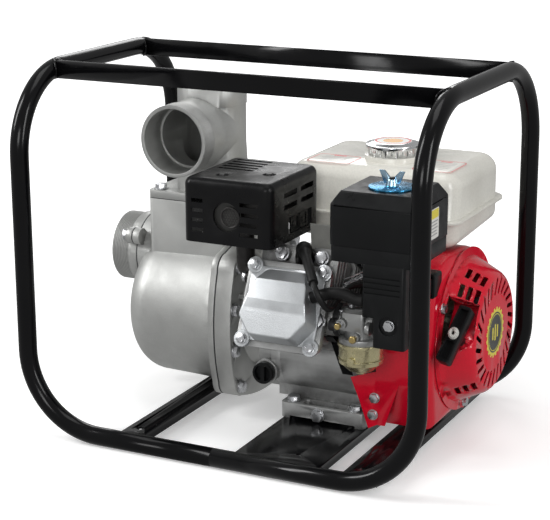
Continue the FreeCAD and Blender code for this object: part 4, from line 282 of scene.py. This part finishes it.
def cover_material():
    """Bright pressed cover: smooth above, sand-textured on the lower facets."""
    n = surface("bright_alloy", (0.60, 0.62, 0.635), 0.34, 0.84, 1.5, 0.03, 0.06, (0.86, 0.86, 0.87),
                rough_vary=0.06, corner_shade=0.5)
    split = n.add("ShaderNodeSeparateXYZ")
    n.link(n.place, split.inputs[0])
    low = n.span(split.outputs[2], 0.190, 0.186, 0.0, 1.0)
    old = n.shader.inputs["Normal"].links[0].from_socket
    sand = n.maths("MULTIPLY", n.noise(0.9, 2.0), low)
    n.link(n.bump(sand, 0.35, 1.0, old), n.shader.inputs["Normal"])
    gloss = n.shader.inputs["Roughness"].links[0].from_socket
    n.link(n.maths("ADD", gloss, n.maths("MULTIPLY", low, 0.16)), n.shader.inputs["Roughness"])
    return n


def split_finish(name, low, high, limit, axis=2, size=0.0002):
    """One finish below a place along an axis and another above it."""
    n = surface(name, low[0], low[1], low[2], 1.2, 0.05, 0.14, mottle=9.0)
    split = n.add("ShaderNodeSeparateXYZ")
    n.link(n.place, split.inputs[0])
    above = n.span(split.outputs[axis], limit - size, limit + size, 0.0, 1.0)
    base = n.shader.inputs["Base Color"].links[0].from_socket
    n.link(n.mix(above, base, high[0]), n.shader.inputs["Base Color"])
    gloss = n.shader.inputs["Roughness"].links[0].from_socket
    n.link(n.maths("ADD", gloss, n.maths("MULTIPLY", above, high[1] - low[1])), n.shader.inputs["Roughness"])
    n.link(n.span(above, 0.0, 1.0, low[2], high[2]), n.shader.inputs["Metallic"])
    return n


def rope_material():
    """Braided cord: diagonal bands of strands."""
    n = surface("rope_fibre", (0.62, 0.61, 0.57), 0.75, 0.0, 0.4, 0.05, 0.1, sheen=0.3)
    wave = n.add("ShaderNodeTexWave", wave_type="BANDS", bands_direction="DIAGONAL")
    wave.inputs["Scale"].default_value = 180.0
    n.link(n.place, wave.inputs["Vector"])
    old = n.shader.inputs["Normal"].links[0].from_socket
    n.link(n.bump(wave.outputs["Fac"], 0.4, 1.0, old), n.shader.inputs["Normal"])
    return n


MAT = make_materials()
SLOT_OF = {part["node"]: part["material_slot"] for part in RECORD["subparts"]}
SPECIAL = {"suction_port": "suction", "discharge_elbow": "discharge", "wing_nut": "wing_nut",
           "cover_bolts": "cover_bolts", "carburettor": "carburettor"}
NO_BEVEL = {"frame_tube_left", "frame_tube_right", "frame_top_rails", "ignition_lead", "breather_hose",
            "starter_rope"}
SOFT_EDGE = {"valve_cover": 1.5, "fuel_tank": 0.6, "pump_casing": 0.9, "pump_rear_cover": 0.9, "suction_port": 0.7,
             "discharge_elbow": 0.8, "crankcase": 0.7, "side_cover": 0.8, "cylinder_head": 0.5,
             "air_cleaner_cover": 0.9, "air_cleaner_base": 0.7, "starter_handle": 0.8, "muffler_guard": 0.4,
             "carburettor": 0.6, "fan_cover": 0.4, "recoil_cover": 0.4}      # mm; 0.3 elsewhere


def dress_nodes():
    """Every CAD node gets its finish and smooth shading, and all but the frame tubes, rails, lead, hose and rope
    get softened edges.
    """
    for name, node in NODES.items():
        key = SPECIAL.get(name, SLOT_OF[name])
        node.data.materials.clear()
        node.data.materials.append(MAT[key])
        for polygon in node.data.polygons:
            polygon.use_smooth = True
        weld = node.modifiers.new("weld", "WELD")
        weld.merge_threshold = 1e-6
        if name not in NO_BEVEL:
            bevel = node.modifiers.new("bevel", "BEVEL")
            bevel.width = SOFT_EDGE.get(name, 0.3) * MM
            bevel.segments = 2
            bevel.limit_method = "ANGLE"
            bevel.angle_limit = math.radians(32)
            bevel.harden_normals = True
            bevel.use_clamp_overlap = True


# ------------------------------------------------------------------ mesh helpers
def new_piece(name, material, body, verts, faces, smooth=True):
    """Mesh object that rides on a body, with its material."""
    mesh = bpy.data.meshes.new(name)
    mesh.from_pydata([tuple(v) for v in verts], [], faces)
    mesh.validate()
    mesh.update()
    for polygon in mesh.polygons:
        polygon.use_smooth = smooth
    mesh.materials.append(MAT[material])
    piece = bpy.data.objects.new(name, mesh)
    bpy.context.scene.collection.objects.link(piece)
    if body:
        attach(piece, body)
    return piece


def basis(normal, up=(0, 0, 1)):
    """Two directions across a surface, and its normal."""
    n = Vector(normal).normalized()
    u = Vector(up).cross(n)
    if u.length < 1e-6:
        u = Vector((1, 0, 0))
    u.normalize()
    return u, n.cross(u).normalized(), n


def plate(name, material, body, outline, origin, normal, thick=0.00015, up=(0, 0, 1)):
    """Thin flat sheet from an outline in millimetres, lying on a surface."""
    u, v, n = basis(normal, up)
    o = Vector(origin)
    low = [o + u * (x * MM) + v * (y * MM) for x, y in outline]
    high = [p + n * thick for p in low]
    count = len(outline)
    faces = [tuple(range(count - 1, -1, -1)), tuple(range(count, 2 * count))]
    faces += [(i, (i + 1) % count, (i + 1) % count + count, i + count) for i in range(count)]
    return new_piece(name, material, body, low + high, faces, False)


def band(name, material, body, outer, inner, origin, normal, thick=0.00015, up=(0, 0, 1)):
    """Thin flat ring between two outlines with equal numbers of points."""
    u, v, n = basis(normal, up)
    o = Vector(origin)
    count = len(outer)
    rings = [[o + u * (x * MM) + v * (y * MM) for x, y in outline] for outline in (outer, inner)]
    verts = rings[0] + rings[1] + [p + n * thick for p in rings[0]] + [p + n * thick for p in rings[1]]
    faces = []
    for i in range(count):
        j = (i + 1) % count
        faces.append((i + 2 * count, j + 2 * count, j + 3 * count, i + 3 * count))
        faces.append((i, i + count, j + count, j))
        faces.append((i, j, j + 2 * count, i + 2 * count))
        faces.append((i + count, i + 3 * count, j + 3 * count, j + count))
    return new_piece(name, material, body, verts, faces, False)


def rounded(width, height, radius, steps=6):
    """Outline of a rectangle with round corners."""
    points = []
    for quarter, (sx, sy) in enumerate(((1, 1), (-1, 1), (-1, -1), (1, -1))):
        for i in range(steps + 1):
            a = math.pi / 2 * (quarter + i / steps)
            points.append((sx * (width / 2 - radius) + radius * math.cos(a),
                           sy * (height / 2 - radius) + radius * math.sin(a)))
    return points


def circle(radius, count=48):
    """Outline of a circle."""
    return [(radius * math.cos(2 * math.pi * i / count), radius * math.sin(2 * math.pi * i / count))
            for i in range(count)]


def gear_outline(radius, depth, teeth):
    """Outline of a disc with square teeth."""
    points = []
    for i in range(teeth):
        for share, reach in ((0.02, radius - depth), (0.22, radius - depth), (0.32, radius), (0.70, radius),
                             (0.82, radius - depth)):
            a = 2 * math.pi * (i + share) / teeth
            points.append((reach * math.cos(a), reach * math.sin(a)))
    return points


def tube(name, material, body, points, radius, closed=False, sides=12, smooth_steps=6):
    """Round bar along a smooth line through points in metres."""
    line = [Vector(p) for p in points]
    if smooth_steps > 1 and len(line) > 2:
        line = spline(line, smooth_steps, closed)
    count = len(line)
    verts, faces = [], []
    side = None
    for i, p in enumerate(line):
        before = line[(i - 1) % count] if closed or i else p
        after = line[(i + 1) % count] if closed or i < count - 1 else p
        along = (after - before).normalized()
        if side is None:
            side = along.orthogonal().normalized()
        side = (side - along * side.dot(along)).normalized()
        other = along.cross(side)
        for k in range(sides):
            a = 2 * math.pi * k / sides
            verts.append(p + side * (radius * math.cos(a)) + other * (radius * math.sin(a)))
    last = count if closed else count - 1
    for i in range(last):
        for k in range(sides):
            a, b = i * sides + k, i * sides + (k + 1) % sides
            c, d = ((i + 1) % count) * sides + (k + 1) % sides, ((i + 1) % count) * sides + k
            faces.append((a, b, c, d))
    if not closed:
        faces.append(tuple(range(sides - 1, -1, -1)))
        faces.append(tuple(range((count - 1) * sides, count * sides)))
    return new_piece(name, material, body, verts, faces)


def spline(points, steps, closed=False):
    """Points on a smooth line through the given ones."""
    count = len(points)
    result = []
    for i in range(count if closed else count - 1):
        p1, p2 = points[i], points[(i + 1) % count]
        p0 = points[(i - 1) % count] if closed or i else p1
        p3 = points[(i + 2) % count] if closed or i + 2 < count else p2
        for k in range(steps):
            t = k / steps
            result.append(0.5 * ((2 * p1) + (p2 - p0) * t + (2 * p0 - 5 * p1 + 4 * p2 - p3) * t * t
                                 + (3 * p1 - p0 - 3 * p2 + p3) * t ** 3))
    if not closed:
        result.append(points[-1])
    return result


def lathe(name, material, body, origin, normal, profile, sides=32):
    """Turned piece from (radius, height) pairs in millimetres along a normal."""
    u, v, n = basis(normal, (0, 1, 0) if abs(Vector(normal).normalized().z) > 0.9 else (0, 0, 1))
    o = Vector(origin)
    verts, faces = [], []
    for r, h in profile:
        for k in range(sides):
            a = 2 * math.pi * k / sides
            verts.append(o + n * (h * MM) + (u * math.cos(a) + v * math.sin(a)) * (max(r, 0.01) * MM))
    for i in range(len(profile) - 1):
        for k in range(sides):
            faces.append((i * sides + k, i * sides + (k + 1) % sides, (i + 1) * sides + (k + 1) % sides,
                          (i + 1) * sides + k))
    faces.append(tuple(range(sides - 1, -1, -1)))
    faces.append(tuple(range((len(profile) - 1) * sides, len(profile) * sides)))
    piece = new_piece(name, material, body, verts, faces)
    edge = piece.modifiers.new("edge", "BEVEL")
    edge.width = 0.25 * MM
    edge.segments = 2
    edge.limit_method = "ANGLE"
    edge.angle_limit = math.radians(35)
    edge.harden_normals = True
    return piece


# ------------------------------------------------------------------ details
def weld_beads():
    """Beads where the top rails meet the bent tubes."""
    low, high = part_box("frame_top_rails")
    z = (low[2] + high[2]) / 2
    for sx in (-1, 1):
        for sy in (-1, 1):
            points = []
            for i in range(28):
                a = 2 * math.pi * i / 28
                ripple = 0.00025 * math.sin(i * 5.3) + 0.0002 * math.sin(i * 2.1 + sx)
                dz = (TUBE_RADIUS + 0.0004 + ripple) * math.sin(a)
                dy = (TUBE_RADIUS + 0.0004 + ripple) * math.cos(a)
                dx = 0.2501 - math.sqrt(max(0.0, 0.0112 ** 2 - dz * dz)) - 0.0006
                points.append((sx * dx, sy * RAIL_Y + dy, z + dz))
            bead = tube("rail_weld_%d%d" % (sx > 0, sy > 0), "frame_paint", "pump_set", points, 0.0013, True, 8, 3)


def tank_labels():
    """Two blank labels on the tank: a red outline with grey lines in place of lettering."""
    up, along = (0, 0, 1), (0, 1, 0)
    spots = [((0.046, 0.052), 56.0, 46.0), ((0.176, 0.066), 50.0, 62.0)]
    for index, ((x, y), width, height) in enumerate(spots):
        outer = rounded(width, height, 7.0)
        inner = rounded(width - 2.4, height - 2.4, 5.8)
        band("tank_label_edge_%d" % index, "print_red", "pump_set", outer, inner, (x, y, TANK_PRINT_Z), up, STICKER,
             along)
        for row in range(5):
            length = width * (0.62, 0.70, 0.55, 0.66, 0.40)[row]
            y_row = height * 0.30 - row * height * 0.14
            plate("tank_label_line_%d_%d" % (index, row), "print_grey", "pump_set", rounded(length, 1.5, 0.5, 2),
                  (x, y + (y_row - 1) * MM, TANK_PRINT_Z), up, STICKER, along)
        plate("tank_label_mark_%d" % index, "print_red", "pump_set", rounded(width * 0.30, 3.2, 1.4),
              (x, y + height * 0.40 * MM, TANK_PRINT_Z), up, STICKER, along)


def cap_label():
    """Round label on the fuel cap."""
    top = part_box("fuel_cap")[1][2]
    face, print_at, up = (0.110, 0.082, top + 0.00002), (0.110, 0.082, top + 0.0001), (0, 0, 1)
    plate("cap_label_face", "print_white", "tank_cap", circle(22.5), face, up, 0.00008)
    band("cap_label_ring", "print_red", "tank_cap", circle(22.0), circle(19.5), print_at, up, 0.00006)
    plate("cap_label_heart", "print_orange", "tank_cap", circle(12.0), print_at, up, 0.00006)


def cleaner_label():
    """White label with a yellow head and grey lines on the end of the air cleaner."""
    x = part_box("air_cleaner_cover")[1][0] + 0.00002
    plate("cleaner_label", "print_white", "pump_set", rounded(40.0, 34.0, 2.0), (x, -0.093, 0.291), (1, 0, 0))
    plate("cleaner_label_head", "print_yellow", "pump_set", rounded(38.0, 10.0, 1.2), (x + 0.00012, -0.093, 0.302),
          (1, 0, 0), STICKER)
    for row in range(5):
        plate("cleaner_label_line_%d" % row, "print_grey", "pump_set",
              rounded((34.0, 30.0, 33.0, 27.0, 31.0)[row], 1.5, 0.5, 2),
              (x + 0.00012, -0.093, 0.2935 - row * 0.0037), (1, 0, 0), STICKER)


def starter_badge():
    """Toothed badge with three plain bars in the middle of the starter cover."""
    out = (1, 0, 0)
    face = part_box("recoil_cover")[1][0] + 0.00002
    origin = Vector((face, STARTER_CENTRE.y, STARTER_CENTRE.z))
    first, second = origin + Vector((0.00012, 0, 0)), origin + Vector((0.00022, 0, 0))
    plate("starter_badge", "print_yellow", "pump_set", gear_outline(30.5, 2.6, 20), origin, out)
    plate("starter_badge_heart", "dark_print_and_shade", "pump_set", circle(24.5), first, out, STICKER)
    band("starter_badge_ring", "print_yellow", "pump_set", circle(22.6), circle(21.6), second, out, 0.00006)
    for index, (y, height) in enumerate(((-8.0, 15.0), (0.0, 20.0), (8.0, 15.0))):
        bar = [(y - 2.0, -height / 2), (y + 2.0, -height / 2), (y + 2.0, height / 2), (y - 2.0, height / 2)]
        plate("starter_badge_bar_%d" % index, "print_yellow", "pump_set", bar, second, out, 0.00006)


def rope_and_knot():
    """Cord from the reel to the grip, and the two turns of the knot in the grip's face."""
    pull = Vector((0.0, -0.8, 0.6))
    side = Vector((0.0, 0.6, 0.8))
    across = Vector((1.0, 0.0, 0.0))
    foot = STARTER_CENTRE - side * ROPE_WRAP
    end = foot + pull * 0.080
    line = [foot + (end - foot) * (i / 60) for i in range(61)]
    rope = tube("rope_visual", "rope_fibre", None, line, 0.00195, False, 14, 1)
    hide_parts("starter_rope")
    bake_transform(rope)
    face = foot + pull * 0.0862
    for index, (lift, size) in enumerate(((0.0000, 0.0052), (0.0026, 0.0046))):
        points = []
        for i in range(16):
            a = 2 * math.pi * i / 16
            points.append(face + pull * (lift + 0.0008 * math.sin(2 * a)) + side * (size * math.cos(a))
                          + across * (size * 0.8 * math.sin(a)))
        tube("rope_knot_%d" % index, "rope_fibre", "pull_handle", points, 0.0021, True, 10, 3)


def outlet_screen():
    """Perforated spark screen in its pipe ring, set back in the round outlet of the guard, with painted shade
    behind it and in its holes.
    """
    centre = Vector((-0.006, -0.1252, 0.283))
    # painted shade: a dark disc fills the outlet behind the screen
    plate("outlet_shadow", "dark_print_and_shade", "pump_set", circle(17.2), centre, (0, -1, 0), 0.0002)
    inner = centre + Vector((0.0035, -0.0002, -0.001))
    lathe("outlet_ring", "muffler_steel", "pump_set", inner, (0, -1, 0),
          [(12.6, 0.0), (12.6, 2.6), (11.2, 2.9), (10.4, 2.2), (10.4, 0.4), (0.5, 0.4)], 40)
    for row in range(-3, 4):
        for column in range(-3, 4):
            x = column * 3.4 + (row % 2) * 1.7
            z = row * 2.95
            if math.hypot(x, z) < 9.2:
                # painted shade: each hole of the screen is a dark dot
                plate("outlet_hole_shade_%d_%d" % (row + 3, column + 3), "dark_print_and_shade", "pump_set", circle(1.15, 12),
                      inner + Vector((x * MM, -0.00045, z * MM)), (0, -1, 0), STICKER)


def guard_panel():
    """Embossed panel behind the lower opening on the guard's engine side."""
    x = 0.0484
    plate("guard_panel", "black_enamel", "pump_set", rounded(48.0, 24.0, 2.0), (x, -0.054, 0.2685), (1, 0, 0),
          0.0006)
    for index, y in enumerate((-0.0665, -0.0435)):
        band("guard_panel_frame_%d" % index, "black_enamel", "pump_set", rounded(20.0, 17.0, 1.5),
             rounded(16.5, 13.5, 1.0), (x + 0.0006, y, 0.2685), (1, 0, 0), 0.0009)
        lathe("guard_panel_boss_%d" % index, "muffler_steel", "pump_set", (x + 0.0006, y, 0.2675), (1, 0, 0),
              [(3.4, 0.0), (3.2, 1.0), (2.2, 1.4)], 20)


def carburettor_trim():
    """Idle screw with its spring, mixture screw, three cap screws and the float bowl's rolled rim."""
    lathe("idle_screw", "brass", "pump_set", (0.1365, -0.131, 0.175), (0, -1, 0),
          [(2.6, -4), (2.6, 5), (3.6, 5), (3.6, 8), (2.9, 8.6)], 24)
    coil = [Vector((0.1365 + 0.0036 * math.cos(a), -0.1295 - 0.0055 * a / 25.0, 0.175 + 0.0036 * math.sin(a)))
            for a in [i * 0.5 for i in range(50)]]
    tube("idle_spring", "zinc_steel", "pump_set", coil, 0.00045, False, 6, 1)
    lathe("mixture_screw", "brass", "pump_set", (0.1525, -0.129, 0.160), (0, -1, 0),
          [(2.4, -4), (2.4, 2), (4.2, 2), (4.2, 4.6), (3.4, 5.2)], 24)
    for index, (x, y) in enumerate(((0.133, -0.118), (0.167, -0.118), (0.167, -0.088))):
        lathe("top_screw_%d" % index, "zinc_steel", "pump_set", (x, y, 0.1868), (0, 0, 1),
              [(2.0, -2), (2.0, 0.2), (3.3, 0.4), (3.0, 2.0), (1.4, 2.4)], 20)
    lathe("bowl_bead", "gold_plate", "pump_set", (0.1505, -0.103, 0.131), (0, 0, 1),
          [(24.9, -1.4), (25.9, -0.7), (26.0, 0.4), (24.9, 1.3)], 48)


def sheet(name, material, body, line, x0, x1, thick):
    """Bent sheet: a profile of (y, z) millimetres, with its thickness downward, carried along X."""
    verts, faces = [], []
    for x in (x0, x1):
        verts += [Vector((x, y, z)) * MM for y, z in line]
        verts += [Vector((x, y, z - thick)) * MM for y, z in line]
    count = len(line)
    for i in range(count - 1):
        j = i + 1
        faces.append((i, j, 2 * count + j, 2 * count + i))
        faces.append((count + j, count + i, 3 * count + i, 3 * count + j))
        faces.append((j, i, count + i, count + j))
        faces.append((2 * count + i, 2 * count + j, 3 * count + j, 3 * count + i))
    faces.append((0, 2 * count, 3 * count, count))
    faces.append((count - 1, 2 * count - 1, 4 * count - 1, 3 * count - 1))
    return new_piece(name, material, body, verts, faces, False)


def cylinder_shrouds():
    """Air guides over and under the fins: a bright one on top with a turned-up lip, a dark one below."""
    sheet("upper_shroud", "shroud_steel", "pump_set",
          [(22.0, 206.0), (-26.0, 225.0), (-34.0, 232.0), (-37.0, 262.0)], 56.0, 126.0, 1.2)
    sheet("lower_shroud", "black_enamel", "pump_set",
          [(-40.0, 132.0), (-78.0, 137.5), (-96.0, 143.0), (-108.0, 152.5)], 34.0, 118.0, 1.6)
    sheet("lower_shroud_end", "black_enamel", "pump_set",
          [(-58.6, 92.0), (-70.0, 108.0), (-80.0, 124.0), (-92.0, 142.0)], 108.0, 121.5, 1.6)


def governor_linkage():
    """Thin rod and a coil spring from beside the speed lever to the side of the head."""
    rod = [Vector(p) for p in ((0.1300, -0.046, 0.2150), (0.1300, -0.060, 0.2160), (0.1265, -0.076, 0.2155),
                               (0.1210, -0.086, 0.2140))]
    tube("governor_rod", "zinc_steel", "pump_set", spline(rod, 6), 0.0009, False, 8, 1)
    start, end = Vector((0.1262, -0.046, 0.2080)), Vector((0.1240, -0.092, 0.2085))
    run = end - start
    side = run.cross(Vector((0, 0, 1))).normalized()
    rise = side.cross(run).normalized()
    coil = [start + run * (i / 260) + (side * math.cos(i * 0.62) + rise * math.sin(i * 0.62)) * 0.0026
            for i in range(261)]
    tube("governor_spring", "zinc_steel", "pump_set", coil, 0.00045, False, 6, 1)


def build_details():
    """Every piece that only the visual has."""
    cylinder_shrouds()
    governor_linkage()
    weld_beads()
    tank_labels()
    cap_label()
    cleaner_label()
    starter_badge()
    rope_and_knot()
    outlet_screen()
    guard_panel()
    carburettor_trim()


# ------------------------------------------------------------------ studio
def area_light(name, place, target, size, power):
    """White rectangular light that faces its target."""
    data = bpy.data.lights.new(name, "AREA")
    data.shape = "RECTANGLE"
    data.size, data.size_y = size
    data.energy = power
    light = bpy.data.objects.new(name, data)
    light.location = place
    light.rotation_mode = "QUATERNION"
    light.rotation_quaternion = (Vector(target) - Vector(place)).to_track_quat("-Z", "Y")
    bpy.context.scene.collection.objects.link(light)


def studio():
    """Pale sweep, a flat floor that curves up far behind the object on every side, and five soft lights."""
    flat, bend, top = 3.2, 1.6, 3.4
    profile = [(flat, 0.0)]
    profile += [(flat + bend * math.sin(a), bend - bend * math.cos(a))
                for a in [math.pi / 2 * i / 10 for i in range(1, 11)]]
    profile.append((flat + bend, top))
    verts, faces = [], []
    sides = 64
    for r, z in profile:
        verts += [(r * math.cos(2 * math.pi * i / sides), r * math.sin(2 * math.pi * i / sides), z - 0.0004)
                  for i in range(sides)]
    faces.append(tuple(range(sides)))
    for level in range(len(profile) - 1):
        for i in range(sides):
            j = (i + 1) % sides
            faces.append((level * sides + i, level * sides + j, (level + 1) * sides + j, (level + 1) * sides + i))
    mesh = bpy.data.meshes.new("studio_floor")
    mesh.from_pydata(verts, [], faces)
    for polygon in mesh.polygons:
        polygon.use_smooth = len(polygon.vertices) == 4
    floor = bpy.data.objects.new("studio_floor", mesh)
    bpy.context.scene.collection.objects.link(floor)
    n = Nodes("studio_floor")
    shade = n.mix(n.noise(900.0, 2.0), (0.92, 0.92, 0.915), (0.95, 0.95, 0.95))
    n.link(shade, n.shader.inputs["Base Color"])
    n.shader.inputs["Roughness"].default_value = 0.9
    n.shader.inputs["Specular IOR Level"].default_value = 0.2
    far = n.add("ShaderNodeVectorMath", operation="LENGTH")
    n.link(n.place, far.inputs[0])
    n.shader.inputs["Emission Color"].default_value = (1.0, 1.0, 1.0, 1.0)
    n.link(n.span(far.outputs["Value"], 0.35, 3.0, 0.30, 0.80), n.shader.inputs["Emission Strength"])
    mesh.materials.append(n.material)
    floor.visible_diffuse = False
    floor.visible_glossy = False
    world = bpy.data.worlds.new("studio")
    bpy.context.scene.world = world
    world.use_nodes = True
    background = world.node_tree.nodes["Background"]
    background.inputs["Color"].default_value = (1.0, 1.0, 1.0, 1.0)
    background.inputs["Strength"].default_value = WORLD_LIGHT
    aim = (0.0, 0.0, 0.2)
    area_light("key", (-2.3, -1.3, 1.9), aim, (0.7, 1.7), 50.0)
    area_light("fill", (2.3, -0.9, 1.2), aim, (0.5, 1.6), 25.0)
    area_light("top", (0.1, 0.1, 2.6), aim, (1.7, 1.1), 13.0)
    area_light("front", (0.6, -2.6, 1.0), aim, (0.9, 0.7), 14.0)
    area_light("rim", (-1.1, 2.2, 1.5), aim, (1.1, 0.9), 12.0)


def camera():
    """Long lens from the front and the right, a little above."""
    azimuth, elevation, roll = (math.radians(v) for v in (26.41, 15.30, -0.23))
    back = Vector((math.sin(azimuth) * math.cos(elevation), -math.cos(azimuth) * math.cos(elevation),
                   math.sin(elevation)))
    data = bpy.data.cameras.new("camera")
    data.lens = 109.9
    data.sensor_width = 36.0
    data.clip_start, data.clip_end = 0.05, 60.0
    shot = bpy.data.objects.new("camera", data)
    shot.location = (0.8655, -1.7603, 0.7382)
    shot.rotation_mode = "QUATERNION"
    shot.rotation_quaternion = (-back).to_track_quat("-Z", "Y") @ Quaternion((0, 0, 1), roll)
    bpy.context.scene.collection.objects.link(shot)
    bpy.context.scene.camera = shot


camera()
studio()
dress_nodes()
build_details()
bpy.context.scene.view_settings.view_transform = "Standard"
